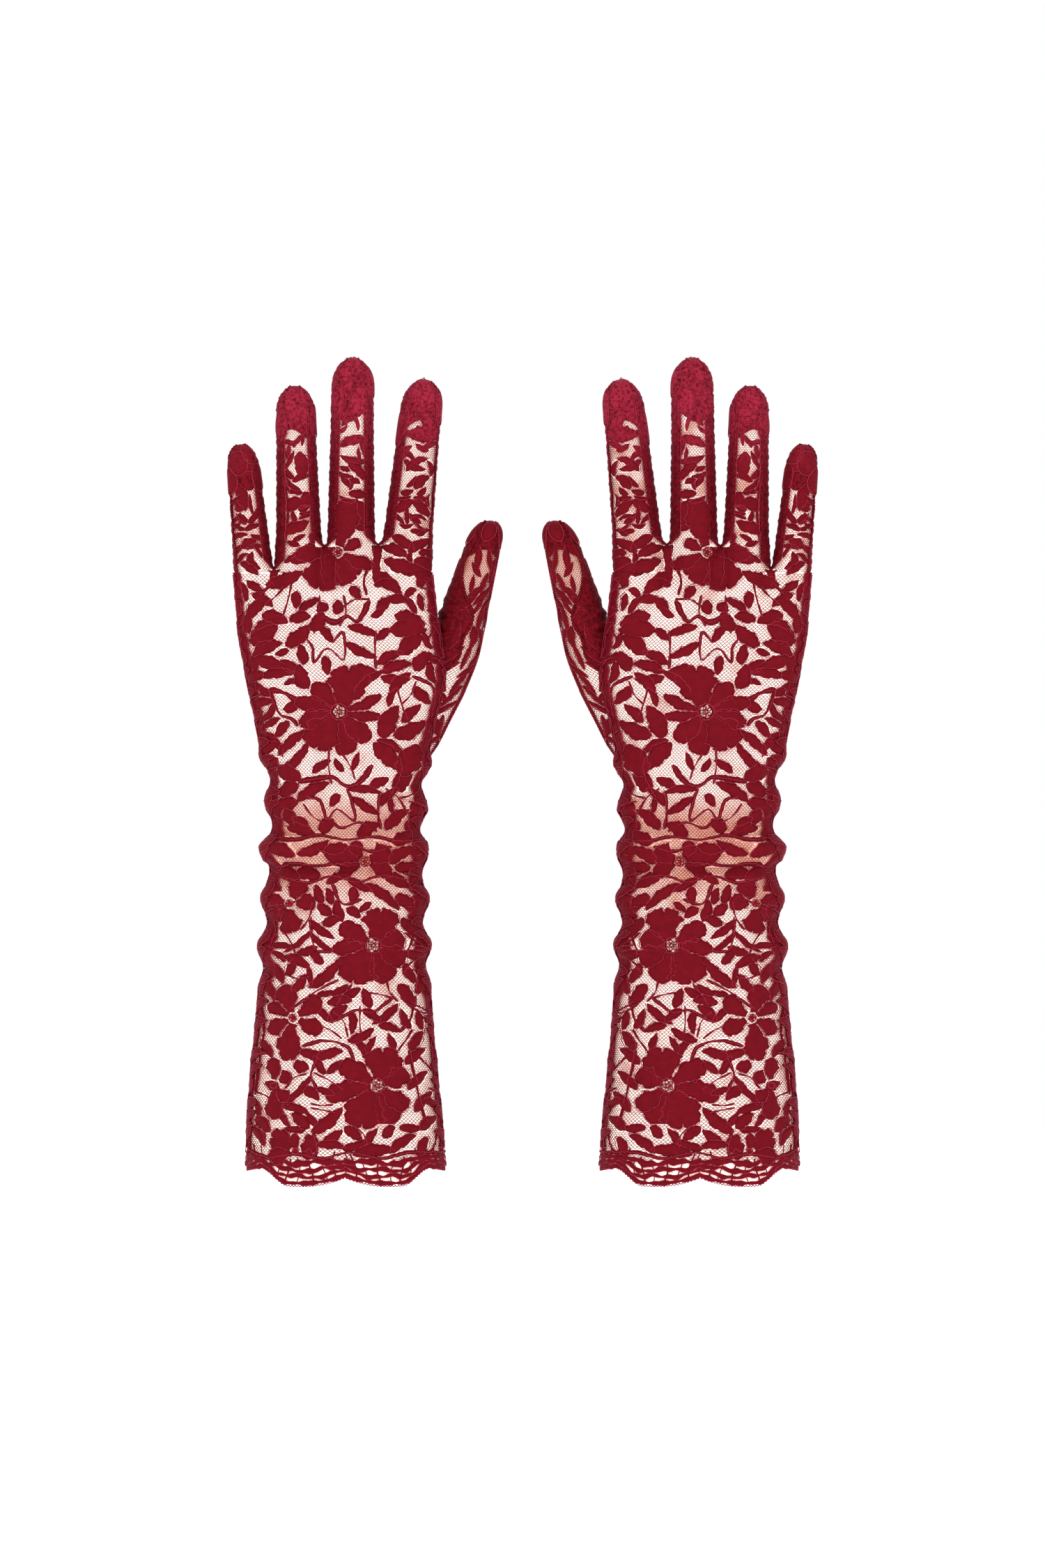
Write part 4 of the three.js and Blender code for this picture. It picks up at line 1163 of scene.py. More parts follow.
def in_hand(middle):
    """Whether points lie inside the hand, so that the gusset's cloth isn't needed there."""
    centre, half_width, _, _ = arm_section(np.minimum(middle[:, 2], KNUCKLE))
    within = np.abs(middle[:, 0] - centre) < half_width - 0.5
    depth = glove_depth(middle[:, 0], np.minimum(middle[:, 2], KNUCKLE))
    return within & (np.abs(middle[:, 1]) < depth - 0.3) & (middle[:, 2] < KNUCKLE)


class Glove:
    """The cloth of one glove, worked out once and shared by the operators."""

    made = None

    @classmethod
    def get(cls):
        cls.made = cls.made or cls()
        return cls.made

    def __init__(self):
        sizes = bpy.context.scene.glove_sizes
        self.pitch = sizes.net_pitch / MM
        self.row = sizes.net_row / MM
        self.thread = sizes.thread_radius / MM
        self.cord = sizes.seam_radius / MM
        self.patterns = {side: lay_pattern(side) for side in (-1, 1)}

    def zigzag(self, rows, columns):
        """Column and row numbers of a net's crossings, and how far each swings up or down."""
        i, r = np.arange(columns + 1), np.arange(rows + 1)[:, None]
        return i, r, np.where((i + r) % 2, 1, -1) * self.row * ZIGZAG

    # -- arm --
    def arm_net(self):
        """The net of the sleeve and hand, left out where motifs and side bands cover it."""
        cloth = Cloth()
        rows = int((KNUCKLE - NET_START - 0.3) / self.row)
        count = 2 * round(SLEEVE.length(np.array(200.0)) / self.pitch)
        i, r, wave = self.zigzag(rows, count)
        turn = np.broadcast_to(i / count - 0.5, wave.shape)
        z = np.clip(NET_START + r * self.row + wave, 0, KNUCKLE)
        points, normals = SLEEVE.at(turn, z, NET_LIFT)
        middle = (points[:, 1:] + points[:, :-1]) / 2
        back, palm = (self.patterns[side].covered(middle[..., 0], middle[..., 2]) for side in (-1, 1))
        covered = np.where(middle[..., 1] < 0, back, palm)
        centre, half_width, _, _ = arm_section(np.minimum(middle[..., 2], KNUCKLE))
        band = np.abs(middle[..., 0] - centre) > half_width - self.band_width(middle[..., 2], 0) + 1.2
        net(cloth, points, normals, ~(covered | band), self.thread)
        return cloth

    def arm_part(self, kind):
        """The solid motifs or their outline cords up to the knuckle line."""
        made = Cloth()
        for pattern in self.patterns.values():
            made.join(getattr(pattern, kind).part(lambda m: m[:, 2] < KNUCKLE))
        return made

    @staticmethod
    def band_width(z, phase):
        """How wide the side seam's band shows from the back: narrow on the sleeve, widest in the gathers."""
        wide = 0.6 + 4.4 * smooth(74, 100, z) - 2.2 * smooth(160, 186, z)
        slow = 0.2 * np.sin(z * 0.42 + phase) * smooth(205, 180, z)
        return wide * (1 + slow + 0.1 * np.sin(z * 1.1 + phase))

    def side_seams(self):
        """A gathered band over each side seam, with corded scalloped edges and overlapping petals."""
        cloth = Cloth()
        z = np.arange(8, KNUCKLE + 0.3, 1.1)
        z[-1] = KNUCKLE  # the last row ends on the knuckle line
        columns = 17
        for way in (-1, 1):
            centre, half_width, _, _ = arm_section(z)
            width = np.minimum(self.band_width(z, 0 if way < 0 else 2), half_width * 0.5)
            reach = np.arccos(1 - width / half_width)
            v = np.linspace(-1, 1, columns)
            angle = reach[:, None] * v
            x = centre[:, None] + way * half_width[:, None] * np.cos(angle)
            zz = np.broadcast_to(z[:, None], x.shape)
            depth = glove_depth(x, zz)
            y = np.sign(v) * depth
            y[:, columns // 2] = 0
            outward = np.sign(v) * np.abs(np.sin(angle)) ** 0.8
            out = unit(np.stack([way * np.cos(angle) * 0.6 + way * 0.15, outward, np.zeros_like(x)], -1))
            calm = smooth(250, KNUCKLE, zz)
            gather = 0.28 * np.sin(zz * 1.7 + 2.3 * v + np.sin(zz * 0.5) * 2)
            gather = (gather + 0.22 * np.sin(zz * 0.83 - 3.1 * v)) * (1 - 0.7 * calm)
            lift = np.where(np.abs(v) > 0.99, -0.25, 0.35 - 0.2 * calm + gather) + ruche(x, y, zz)
            points = np.stack([x, y, zz], -1) + out * lift[..., None]
            faces = grid_faces(len(z), columns)
            if way > 0:
                faces = faces[:, ::-1]
            cloth.add(points, faces[:, ::-1], "petal")
            for column in (0, columns - 1, columns // 2 - 3, columns // 2 + 4):
                wander = 0.3 * np.sin(z * 2.3 + column)
                line = points[:, column] + out[:, column] * (0.45 + 0.1 * wander)[:, None]
                line[:, 0] += wander * 0.4 * (column in (0, columns - 1))
                tube(cloth, line, out[:, column], 0.24 + 0.05 * np.sin(z * 3.1), "cord", sides=5)
        self.side_petals(cloth)
        return cloth

    def side_petals(self, cloth):
        """Petals and leaves that overlap along both side seams."""
        for way in (-1, 1):
            pattern = SidePattern(way)
            for n, z in enumerate(np.arange(17, KNUCKLE - 4, 5.3)):
                lean = 1 if n % 2 else -1
                reach = 10 - 5.5 * smooth(150, 215, z) + 2.5 * math.sin(n * 2.9)
                rise = 6.5 + 3.5 * math.sin(n * 1.7)
                pattern.leaf(-lean * 1.5, z, lean * (2 + reach), z + rise, 1.9, 0.25 * lean, "lr")
                if n % 4 == 0:
                    pattern.petal(lean * 2.0, z + 3, -60 * lean, 4 + reach, 3.2, start=0.5)
                if n % 3 == 1:
                    pattern.stem([(-lean * 5, z - 2), (lean * 2, z + 2), (lean * (6 + reach), z + 5)], 0.5)
            cloth.join(pattern.cloth)
            cloth.join(pattern.cords)

    def arm_lining(self):
        """The lining of the sleeve and hand, which ends just above the scallops."""
        cloth = Cloth()
        turns = np.arange(72) / 72
        base = self.hem_line(turns) + 1.9
        share = np.linspace(0, 1, 300)[:, None]
        z = base + (KNUCKLE - base) * share
        shell(cloth, SLEEVE.at(turns, z, LINING_LIFT)[0], SLEEVE.at(turns, z, LINING_BACK)[0])
        return cloth

    # -- hem --
    @staticmethod
    def hem_line(turn):
        """Height of the scalloped lower edge around the cuff."""
        a = (turn % 1) * SCALLOPS
        along = np.abs(a % 1 - 0.5) * 2
        scallop = SCALLOP_DEPTH * along**2.2
        side = smooth(0.62, 0.9, np.abs(np.sin(2 * math.pi * turn)))
        return scallop * (1 - 0.55 * side) + SIDE_RISE * side

    def hem(self):
        """Wavy bands with open slots between them, tied by short bars, and a looped lower edge."""
        cloth = Cloth()
        steps = 620
        turn = np.arange(steps) / steps
        low = self.hem_line(turn)
        length = float(SLEEVE.length(0.0))
        run = turn * length
        # Each band's height over the edge, its half width and where its waves start.
        bands = [(1.45, 0.8, 0.0), (4.3, 0.75, 1.3), (7.1, 0.85, 2.9), (10.4, 1.15, 4.2)]
        for rise, half, phase in bands:
            wave = 0.6 * np.sin(run * 0.31 + phase) + 0.3 * np.sin(run * 0.83 + phase * 2)
            flat = rise + (1 - rise / 16) * low + wave * (rise > 2)
            thick = half * (1 + 0.35 * np.sin(run * 0.47 + 2 * phase) + 0.2 * np.sin(run * 1.3 + phase))
            v = np.linspace(-1, 1, 7)[:, None]
            z = flat + thick * v
            lift = np.where(np.abs(v) > 0.99, -0.3, 0.15 + 0.25 * (1 - v**2) + 0.06 * np.sin(run * 7))
            z = np.broadcast_to(z, (7, steps))
            points, _ = SLEEVE.at(np.broadcast_to(turn, z.shape), np.maximum(z, 0.05), lift, ruched=False)
            cloth.add(points, grid_faces(7, steps, wrap=True), "petal")
            for edge in (-1, 1):
                line = flat + edge * thick
                path, normals = SLEEVE.at(turn, np.maximum(line, 0.3), 0.15, ruched=False)
                tube(cloth, path, normals, 0.2 + 0.04 * np.sin(run * 4), "cord", sides=5, closed=True)
        loop_width, steps_a_loop = 1.5, 8
        k = np.arange(int(length / loop_width) * steps_a_loop)
        t = k / len(k)
        swing = np.abs(np.sin(math.pi * k / steps_a_loop))
        line = self.hem_line(t) + 0.6 - 0.75 * swing
        path, normals = SLEEVE.at(t, np.maximum(line, 0.0), 0.1, ruched=False)
        tube(cloth, path, normals, 0.22, "cord", sides=5, closed=True)
        bars = 48
        for n in range(bars):
            place = n / bars + 0.006 * math.sin(n * 5.1)
            foot = float(self.hem_line(place))
            t = np.linspace(0, 1, 9)
            z = foot + 1.5 + t * (9.5 + (n % 3))
            path, normals = SLEEVE.at(place + 0.006 * np.sin(t * 3 + n), z, 0.05, ruched=False)
            tube(cloth, path, normals, 0.42 if n % 2 else 0.28, "petal", sides=5)
        return cloth

    # -- fingers --
    @staticmethod
    def seam_at(k, toward, along):
        """Degrees from the middle of the back to the seam, which turns out to the crotch at its foot."""
        if k + toward in (-1, 4):
            return np.full_like(np.asarray(along, float), 88.0)
        crotch = CROTCHES[k if toward > 0 else k - 1]
        return SEAM_ANGLE + (86 - SEAM_ANGLE) * smooth(crotch + 5, crotch - 2, along)

    @staticmethod
    def open_seam(along):
        """The same on the hand's two outer sides, where the side seam runs on up the finger."""
        return OPEN_SEAM_ANGLE + 14 * smooth(0, 30, along) + 2.5 * np.sin(along * 0.5)

    @staticmethod
    def webs(k):
        """The crotches beside finger k, each with the side that it is on."""
        return [(i, toward) for i, toward in ((k, 1), (k - 1, -1)) if 0 <= i < len(CROTCHES)]

    @staticmethod
    def region(k):
        """A test for faces of finger k, by the lines halfway to its neighbours."""
        def keep(middle):
            height = middle[:, 2] - KNUCKLE
            inside = height >= 0
            if k > 0:
                inside &= middle[:, 0] >= crotch_between(k - 1, height)[0]
            if k < 3:
                inside &= middle[:, 0] < crotch_between(k, height)[0]
            return inside
        return keep

    def finger_lace(self, k):
        """All the lace of one finger."""
        stall = FINGERS[k]
        cloth = Cloth()
        cap = stall.straight - TIP_STARTS[k]
        left_open, right_open = k == 0, k == 3  # the hand's two outer sides face no other finger
        edge = 88  # how far round the net goes, in degrees from the middle of the back or palm
        for back in (True, False):
            columns = 2 * round(math.radians(2 * edge) * stall.base / self.pitch)
            rows = int((cap + 2) / self.row)
            i, r, wave = self.zigzag(rows, columns)
            degrees = -edge + 2 * edge * i / columns
            along = np.clip((r + 0.6) * self.row + wave, 0, stall.reach)
            degrees = np.broadcast_to(degrees, along.shape)
            if not back:
                degrees = 180 - degrees
            points, normals = on_stall(stall, degrees, along, NET_LIFT, self.webs(k))
            middle = (points[:, 1:] + points[:, :-1]) / 2
            pattern = self.patterns[-1 if back else 1]
            keep = ~pattern.covered(middle[..., 0], middle[..., 2])
            turn = -edge + 2 * edge * (i[:-1] + 0.5) / columns
            rise = (along[:, 1:] + along[:, :-1]) / 2
            keep &= (turn > -self.seam_at(k, -1, rise)) & (turn < self.seam_at(k, 1, rise))
            order = 1 if back else -1
            net(cloth, points[:, ::order], normals[:, ::order], keep[:, ::order], self.thread)

        def on_finger(middle):
            return self.region(k)(middle) & self.on_strip(stall, middle, left_open, right_open)

        for pattern in self.patterns.values():
            for made in (pattern.cloth, pattern.cords):
                cloth.join(made.part(on_finger))
        self.sides(cloth, k, left_open, right_open)
        self.cap(cloth, stall, cap, k)
        self.seams(cloth, k, left_open, right_open)
        return cloth

    @staticmethod
    def on_strip(stall, middle, left_open, right_open):
        """Whether points lie on a finger's back or palm strip, or on the web at its foot."""
        height = middle[:, 2] - stall.z
        share = (middle[:, 0] - stall.centre(height)) / np.maximum(stall.radius(height), 0.5)
        k = FINGERS.index(stall)
        narrow, wide, none = 0.68, 0.93, -99
        left = none if left_open else CROTCHES[k - 1]
        right = none if right_open else CROTCHES[k]
        inside = (share > -(wide if left_open else narrow)) & (share < (wide if right_open else narrow))
        return inside | (height < np.where(share > 0, right, left) - 0.3)

    @staticmethod
    def strip(cloth, stall, degrees, along, lift, finish, webs):
        """A solid strip of cloth whose edges are tucked under."""
        degrees, along = np.broadcast_arrays(degrees, along)
        edge = np.zeros(degrees.shape, bool)
        edge[[0, -1]] = True
        edge[:, [0, -1]] = True
        top, _ = on_stall(stall, degrees, along, np.where(edge, NET_LIFT, lift(degrees, along)), webs)
        cloth.add(top, grid_faces(*degrees.shape), finish)

    def sides(self, cloth, k, left_open, right_open):
        """The fourchettes: dark gathered strips down the sides that face the other fingers."""
        stall = FINGERS[k]

        def gathered(degrees, along):
            fine = 0.16 * np.sin(along * 1.9 + degrees * 0.09)
            return 0.12 + fine + 0.12 * np.sin(along * 0.8 - degrees * 0.05)

        along = np.linspace(0, stall.reach * 0.97, int(stall.reach / 1.1))[:, None]
        for toward, is_open in ((1, right_open), (-1, left_open)):
            seam = self.open_seam(along) if is_open else self.seam_at(k, toward, along) - 1
            share = np.linspace(0, 1, 17)
            degrees = (toward * (seam + (180 - 2 * seam) * share))[:, ::toward]
            finish = "petal" if is_open else "fourchette"
            self.strip(cloth, stall, degrees, along, gathered, finish, self.webs(k))

    def cap(self, cloth, stall, start, k):
        """The solid fingertip, with round petals that overlap down from it."""
        random = np.random.default_rng(TIP_SEED + k)
        phase = random.random(3) * 6

        def rough(degrees, along):
            a = np.radians(degrees)
            lumps = 0.1 + 0.13 * np.sin(along * 2.6 + 3 * a + phase[0])
            return lumps + 0.13 * np.sin(5 * a - along * 1.3 + phase[1]) + 0.08 * np.sin(9 * a + along * 3.7)

        columns, rows = 48, 34
        wave = 2.2 * np.sin(np.radians(np.arange(columns) * 360 / columns) * 3 + phase[2])
        share = np.linspace(0, 1, rows)[:, None]
        low = start + wave
        along = low + (stall.reach - 0.05 - low) * share
        degrees = np.broadcast_to(np.arange(columns) * 360 / columns, along.shape)
        lift = rough(degrees, along) * np.minimum(1, (1 - share) * 6) + 0.12
        lift[0] = NET_LIFT
        points, _ = on_stall(stall, degrees, along, lift)
        cloth.add(points, grid_faces(rows, columns, wrap=True), "fourchette")
        for turn, below, length, half in TIP_PETALS[k]:
            self.tip_petal(cloth, stall, turn, stall.reach - below, length, half)

    @staticmethod
    def tip_petal(cloth, stall, turn, middle, half_length, half_width):
        """A round corded petal laid on a fingertip."""
        spokes, rings = 20, 7
        a = np.linspace(0, 2 * math.pi, spokes, endpoint=False)
        share = np.linspace(0.001, 1, rings)[:, None]
        shape = 1 + 0.06 * np.sin(a * 3 + turn)
        along = middle + share * half_length * np.cos(a) * shape
        wide = np.degrees(half_width / stall.tip)
        degrees = turn + share * wide * np.sin(a) * shape
        lift = np.broadcast_to(0.5 + 0.25 * (1 - share**3), along.shape).copy()
        lift[-1] = -0.1
        along = np.minimum(along, stall.reach)
        points, _ = on_stall(stall, degrees, along, lift)
        cloth.add(points, grid_faces(rings, spokes, wrap=True)[:, ::-1], "petal")
        path, normals = on_stall(stall, degrees[-1], along[-1], 0.5)
        tube(cloth, path, normals, 0.24, "cord", sides=5, closed=True)

    def seams(self, cloth, k, left_open, right_open):
        """Rough corded seams up each side of the finger's back and palm, turning into the crotches."""
        stall = FINGERS[k]
        for palm in (False, True):
            for toward, is_open in ((1, right_open), (-1, left_open)):
                along = np.arange(0, stall.reach * 0.96, 0.5)
                if is_open:
                    angle = self.open_seam(along)
                else:
                    along = along[along > max(CROTCHES[k if toward > 0 else k - 1] - 2.2, 0)]
                    angle = self.seam_at(k, toward, along)
                degrees = 180 - toward * angle if palm else toward * angle
                lumps = 0.26 * np.sin(along * 4.3) + 0.14 * np.sin(along * 7.1 + k)
                path, normals = on_stall(stall, degrees, along, 0.35 + 0.3 * lumps, self.webs(k))
                thick = self.cord * (0.55 if is_open else 1)
                tube(cloth, path, normals, thick * (1 + lumps), "fourchette", sides=6)
                if not is_open:
                    degrees = degrees + (6 if palm else -6) * toward
                    path, normals = on_stall(stall, degrees, along, 0.2, self.webs(k))
                    tube(cloth, path, normals, 0.25, "cord", sides=5)

    @staticmethod
    def stall_lining(stall, webs):
        """The lining of a finger or thumb, tucked into the hand's."""
        cloth = Cloth()
        columns, rows = 40, 40
        along = np.linspace(-3, stall.reach - 0.4, rows)[:, None]
        degrees = np.arange(columns) * 360 / columns
        tuck = 0.35 * smooth(0.5, -1.5, along)
        outer, _ = on_stall(stall, degrees, along, -1.12 - tuck, webs)
        inner, _ = on_stall(stall, degrees, along[:-1], LINING_BACK - tuck[:-1], webs)
        shell(cloth, outer, inner)
        return cloth

    # -- thumb --
    def thumb_cloth(self):
        """Net, leaves and seams over the gusset and thumb stall together, shared out afterwards."""
        cloth = Cloth()
        low = GUSSET_START
        cap = THUMB.straight - 4
        columns = 2 * round(2 * math.pi * THUMB.base / self.pitch)
        rows = int((cap + 2 - low) / self.row)
        i, r, wave = self.zigzag(rows, columns)
        along = low + r * self.row + wave
        degrees = np.broadcast_to(360 * i / columns, along.shape)
        points, normals = on_thumb(degrees, along, NET_LIFT)
        middle = (points[:, 1:] + points[:, :-1]) / 2
        inside = in_hand(middle.reshape(-1, 3)).reshape(middle.shape[:2])
        turn = (degrees[:, 1:] + 180) % 360 - 180
        solid = (turn > DARK_START + 5) & (turn < self.dark_edge(along[:, 1:]))
        net(cloth, points, normals, ~(inside | solid), self.thread)
        # the dark wrinkled strip that faces the hand
        span = np.arange(low, THUMB.reach * 0.96, 0.8)[:, None]
        share = np.linspace(0, 1, 26)
        angle = DARK_START + (self.dark_edge(span) - DARK_START) * share
        lift = 0.15 + 0.2 * np.sin(span * 1.6 + share * 9) + 0.12 * np.sin(span * 2.9 - share * 14)
        lift = lift * (1 - smooth(26, 40, span)) + 0.1
        lift[:, [0, -1]] = NET_LIFT
        points, _ = on_thumb(angle, np.broadcast_to(span, angle.shape), lift)
        cloth.add(points, grid_faces(*angle.shape), "fourchette")
        random = np.random.default_rng(THUMB_SEED)
        for n, height in enumerate(np.arange(low + 4, THUMB.straight - 2, 5.6)):
            for turn in (-15, 28, 68, 108, 150, 192, 235):
                place = turn + 20 * random.random() + 14 * (n % 2)
                self.thumb_leaf(cloth, place, height + 4 * random.random(), 3.8 + 2.4 * random.random(),
                                1.0 + 1.0 * random.random(), random.uniform(-60, 70))
        self.thumb_cap(cloth, cap)
        span = np.arange(low, THUMB.reach * 0.95, 0.6)
        lumps = 0.22 * np.sin(span * 4.1)
        seams = [(self.dark_edge(span), 0.7, "fourchette"), (150, 0.45, "cord"),
                 (95 + 4 * np.sin(span * 0.2), 0.3, "cord")]
        for angle, radius, finish in seams:
            path, normals = on_thumb(angle, span, 0.3)
            tube(cloth, path, normals, radius * (1 + lumps), finish, sides=6)
        return cloth.part(lambda m: ~in_hand(m))

    @staticmethod
    def dark_edge(along):
        """Degrees from the thumb's front to where its dark inner strip ends."""
        return -40 + 62 * smooth(26, 8, along) - 44 * smooth(-4, -36, along) + 5 * np.sin(along * 0.35)

    @staticmethod
    def thumb_leaf(cloth, turn, middle, half_length, half_width, tilt):
        """A corded leaf on the gusset or the thumb, tilted from straight up."""
        rows, columns = 13, 5
        t = np.linspace(-1, 1, rows)[:, None]
        v = np.linspace(-1, 1, columns)
        wide = half_width * (1 - np.abs(t) ** 1.7) + 0.1
        across, along = wide * v, half_length * t + 0 * v
        a = math.radians(tilt)
        degrees = turn + np.degrees((across * math.cos(a) + along * math.sin(a)) / THUMB_GIRTH)
        height = middle + along * math.cos(a) - across * math.sin(a)
        lift = np.where(np.abs(v) > 0.99, TUCK, 0.3 + 0.3 * (1 - v**2)) + 0 * t
        lift[[0, -1]] = TUCK
        height = np.clip(height, GUSSET_START, THUMB.reach)
        points, _ = on_thumb(degrees, height, lift)
        cloth.add(points, grid_faces(rows, columns), "petal")
        path, normals = on_thumb(degrees[:, -1], height[:, -1], 0.25)
        tube(cloth, path, normals, 0.22, "cord", sides=5)

    def thumb_cap(self, cloth, start):
        """The thumb's solid tip with its petals."""
        columns, rows = 44, 22
        a = np.radians(np.arange(columns) * 360 / columns)
        low = start + 1.6 * np.sin(3 * a + 1)
        share = np.linspace(0, 1, rows)[:, None]
        along = low + (THUMB.reach - 0.05 - low) * share
        lift = 0.15 + 0.12 * np.sin(along * 2.6 + 3 * a) * np.minimum(1, (1 - share) * 6)
        lift[0] = NET_LIFT
        points, _ = on_stall(THUMB, np.degrees(a), along, lift)
        cloth.add(points, grid_faces(rows, columns, wrap=True), "fourchette")
        for turn, below, half_length, half_width in TIP_PETALS[-1]:
            self.tip_petal(cloth, THUMB, turn, THUMB.reach - below, half_length, half_width)

    def gusset_lining(self):
        """The lining behind the gusset, joined to the gusset piece."""
        cloth = Cloth()
        rows = columns = 40
        along = np.linspace(GUSSET_START, 0, rows)[:, None]
        degrees = np.arange(columns) * 360 / columns
        outer, inner = (on_thumb(degrees, along, lift)[0] for lift in (LINING_LIFT, LINING_BACK))
        shell(cloth, outer, inner, closed=False)
        return cloth.part(lambda m: ~in_hand(m))


# ---- settings ----
def size_setting(name, description, default, low):
    """A setting in metres."""
    return bpy.props.FloatProperty(name=name, description=description, default=default, min=low,
                                   unit="LENGTH", precision=5)


def colour_setting(name, description, default):
    return bpy.props.FloatVectorProperty(name=name, description=description, default=default,
                                         subtype="COLOR", min=0, max=1)


class GloveSizes(bpy.types.PropertyGroup):
    """Sizes of the lace"""

    net_pitch: size_setting("Net pitch", "Width of one hole of the net", 0.00164, 0.001)
    net_row: size_setting("Net row", "Height from one row of holes to the next", 0.00082, 0.0005)
    thread_radius: size_setting("Thread radius", "Radius of the net's thread", 0.000172, 0.00005)
    cord_radius: size_setting("Cord radius", "Radius of the outline cords", 0.00019, 0.00005)
    seam_radius: size_setting("Seam radius", "Radius of the corded seams up the fingers", 0.0007, 0.0002)


class GloveColours(bpy.types.PropertyGroup):
    """Colours of the lace and lining"""

    petal: colour_setting("Petals", "Colour of the solid flowers and leaves", (0.138, 0.0024, 0.0074))
    thread: colour_setting("Net", "Colour of the net's thread", (0.16, 0.004, 0.007))
    cord: colour_setting("Cord", "Colour of the raised outline cords", (0.27, 0.016, 0.036))
    sheen: colour_setting("Sheen", "Colour of the soft light along the edges", (1.0, 0.24, 0.48))
    lining: colour_setting("Lining", "Colour of the lining", (0.99, 0.91, 0.86))
    # the colour of the painted shade on the lining at the wrist, fingers and thumbs
    lining_warm: colour_setting("Warm lining", "Colour of the lining at the wrist", (0.62, 0.31, 0.23))


# ---- operators ----
SIDES = ("left", "right")
CAMERA_HEIGHT, LIGHTS_AIM = 0.178, 0.18  # in metres


class LiningOperator(bpy.types.Operator):
    """Adds the thin linings of sleeves, hands, fingers and thumbs"""

    bl_idname = "gloves.lining"
    bl_label = "Linings"

    def execute(self, context):
        glove = Glove.get()
        arm = glove.arm_lining()
        for side in SIDES:
            piece = make_piece(f"{side}_arm_lining", arm, side)
            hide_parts(f"{side}_sleeve_lining", f"{side}_hand_lining")
            bend_at_wrist(piece, side)
            for k, stall in enumerate([*FINGERS, THUMB]):
                webs = glove.webs(k) if stall is not THUMB else ()
                piece = make_piece(f"{side}_{stall.name}_inner", glove.stall_lining(stall, webs), side, stall)
                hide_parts(f"{side}_{stall.name}_lining")
                bend_at_stall(piece, side, stall)
        return {"FINISHED"}


class ArmLaceOperator(bpy.types.Operator):
    """Adds the net, the flowers and leaves and the outline cords of the sleeves and hands"""

    bl_idname = "gloves.arm_lace"
    bl_label = "Sleeve and hand lace"

    def execute(self, context):
        glove = Glove.get()
        cloths = {"arm_net": glove.arm_net(), "arm_motifs": glove.arm_part("cloth"),
                  "arm_cords": glove.arm_part("cords")}
        for side in SIDES:
            for name, cloth in cloths.items():
                piece = make_piece(f"{side}_{name}", cloth, side)
                if name == "arm_net":
                    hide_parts(f"{side}_sleeve_back", f"{side}_sleeve_palm", f"{side}_hand_back",
                                f"{side}_hand_palm")
                bend_at_wrist(piece, side)
        return {"FINISHED"}


class SideSeamOperator(bpy.types.Operator):
    """Adds the gathered bands over the side seams"""

    bl_idname = "gloves.side_seams"
    bl_label = "Side seams"

    def execute(self, context):
        cloth = Glove.get().side_seams()
        for side in SIDES:
            piece = make_piece(f"{side}_side_seams", cloth, side)
            bend_at_wrist(piece, side)
        return {"FINISHED"}


class HemOperator(bpy.types.Operator):
    """Adds the scalloped hems"""

    bl_idname = "gloves.hem"
    bl_label = "Scalloped hems"

    def execute(self, context):
        cloth = Glove.get().hem()
        for side in SIDES:
            piece = make_piece(f"{side}_hem", cloth, side)
            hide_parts(f"{side}_cuff_border")
            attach(piece, "sleeves")
        return {"FINISHED"}


class FingerOperator(bpy.types.Operator):
    """Adds the lace of the fingers: net, petals, fourchettes, tips and corded seams"""

    bl_idname = "gloves.fingers"
    bl_label = "Finger lace"

    def execute(self, context):
        glove = Glove.get()
        for k, stall in enumerate(FINGERS):
            cloth = glove.finger_lace(k)
            for side in SIDES:
                piece = make_piece(f"{side}_{stall.name}_lace", cloth, side, stall)
                own = [node for node in frame["nodes"] if node.startswith(f"{side}_{stall.name}_")]
                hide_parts(*[node for node in own if not node.endswith("lining")])
                bend_at_stall(piece, side, stall)
        return {"FINISHED"}


class ThumbOperator(bpy.types.Operator):
    """Adds the thumb gussets and thumb stalls"""

    bl_idname = "gloves.thumbs"
    bl_label = "Thumb lace"

    def execute(self, context):
        glove = Glove.get()
        cloth = glove.thumb_cloth()
        gusset = cloth.part(lambda m: m[:, 2] < THUMB_LINE).join(glove.gusset_lining())
        thumb = cloth.part(lambda m: m[:, 2] >= THUMB_LINE)
        for side in SIDES:
            piece = make_piece(f"{side}_gusset", gusset, side, THUMB)
            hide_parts(f"{side}_thumb_gusset")
            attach(piece, f"{side}_hand")
            piece = make_piece(f"{side}_thumb_lace", thumb, side, THUMB)
            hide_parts(f"{side}_thumb_back", f"{side}_thumb_palm")
            bend_at_stall(piece, side, THUMB)
        return {"FINISHED"}


class StageOperator(bpy.types.Operator):
    """Adds the floor, soft lights and camera"""

    bl_idname = "gloves.stage"
    bl_label = "Stage"

    def execute(self, context):
        scene = context.scene
        add_floor()
        add_light("front_left", (-1.3, -2.2, 1.3), 1.8, 30)
        add_light("front_right", (1.3, -2.2, 1.0), 1.8, 24)
        add_light("high_back", (0.0, 1.4, 1.8), 2.0, 18)
        world = bpy.data.worlds.new("studio")
        world.use_nodes = True
        background = world.node_tree.nodes["Background"]
        background.inputs["Color"].default_value = (1, 1, 1, 1)
        background.inputs["Strength"].default_value = 1.0
        scene.world = world
        scene.view_settings.view_transform = "Standard"
        data = bpy.data.cameras.new("camera")
        data.sensor_width = 36
        distance, tall = 5.0, 0.6975  # how far away it stands and how much height it takes in
        data.lens = data.sensor_width * distance / tall
        camera = bpy.data.objects.new("camera", data)
        camera.location = (0, -distance, CAMERA_HEIGHT)
        camera.rotation_euler = (math.radians(90), 0, 0)
        scene.collection.objects.link(camera)
        scene.camera = camera
        return {"FINISHED"}


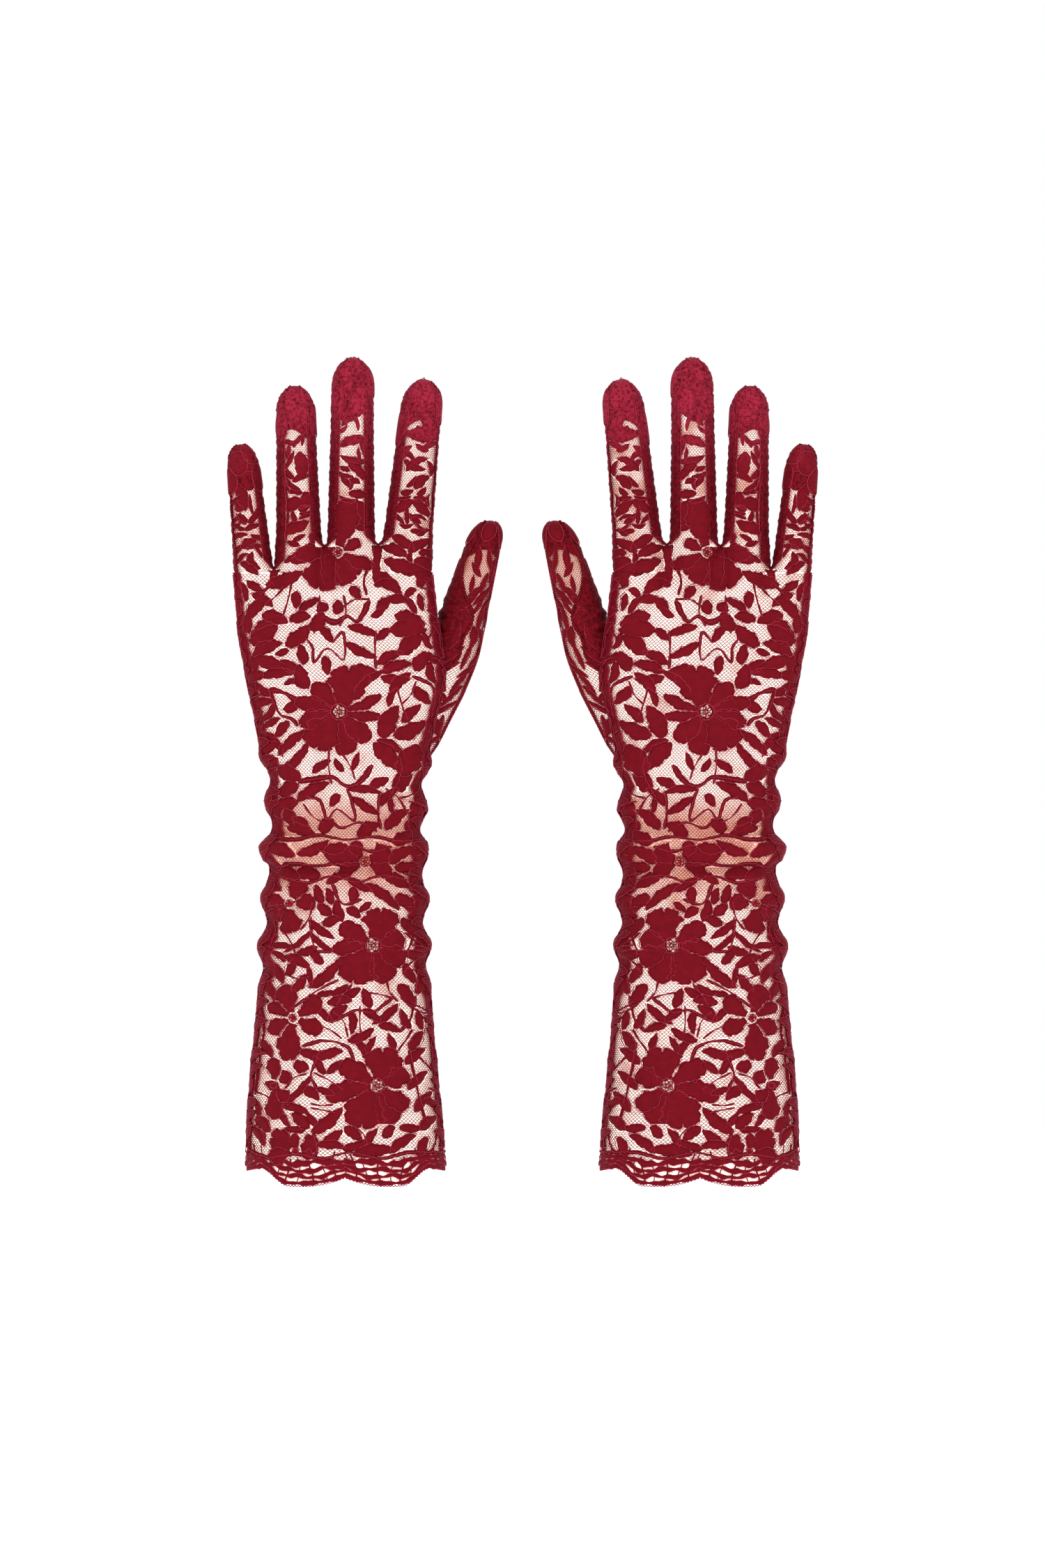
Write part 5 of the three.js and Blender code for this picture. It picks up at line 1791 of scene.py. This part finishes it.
def add_floor():
    """A plain pale floor, well below the hems."""
    half, level = 8, -0.22
    points = [(x, y, level) for y in (-half, half) for x in (-half, half)]
    mesh = bpy.data.meshes.new("studio_floor")
    mesh.from_pydata(points, [], [(0, 1, 3, 2)])
    material, shader, place = new_finish("studio_paper")
    colour = place.noise(0.4).mix((0.95, 0.95, 0.95), (0.98, 0.98, 0.98))
    for name in ("Base Color", "Emission Color"):
        colour.feed(shader, name)
    shader.inputs["Emission Strength"].default_value = 0.5
    shader.inputs["Roughness"].default_value = 0.9
    mesh.materials.append(material)
    floor = bpy.data.objects.new("studio_floor", mesh)
    bpy.context.scene.collection.objects.link(floor)


def add_light(name, place, size, power):
    """A round soft light aimed at the middle of the gloves."""
    data = bpy.data.lights.new(name, "AREA")
    data.shape, data.size, data.energy = "DISK", size, power
    light = bpy.data.objects.new(name, data)
    light.location = place
    light.rotation_euler = (Vector((0, 0, LIGHTS_AIM)) - Vector(place)).to_track_quat("-Z", "Y").to_euler()
    bpy.context.scene.collection.objects.link(light)


OPERATORS = (LiningOperator, ArmLaceOperator, SideSeamOperator, HemOperator, FingerOperator, ThumbOperator,
             StageOperator)


class GlovePanel(bpy.types.Panel):
    """Lists the steps that build the gloves"""

    bl_idname = "VIEW3D_PT_gloves"
    bl_label = "Lace gloves"
    bl_space_type = "VIEW_3D"
    bl_region_type = "UI"
    bl_category = "Gloves"

    def draw(self, context):
        for group in (context.scene.glove_sizes, context.scene.glove_colours):
            for name in group.__annotations__:
                self.layout.prop(group, name)
        for operator in OPERATORS:
            self.layout.operator(operator.bl_idname)


CLASSES = (GloveSizes, GloveColours, *OPERATORS, GlovePanel)


def register():
    for cls in CLASSES:
        bpy.utils.register_class(cls)
    bpy.types.Scene.glove_sizes = bpy.props.PointerProperty(type=GloveSizes)
    bpy.types.Scene.glove_colours = bpy.props.PointerProperty(type=GloveColours)


def unregister():
    del bpy.types.Scene.glove_colours
    del bpy.types.Scene.glove_sizes
    for cls in reversed(CLASSES):
        bpy.utils.unregister_class(cls)


def main():
    """Builds every piece in order."""
    register()
    for operator in OPERATORS:
        group, name = operator.bl_idname.split(".")
        getattr(getattr(bpy.ops, group), name)()


if __name__ == "__main__":
    main()
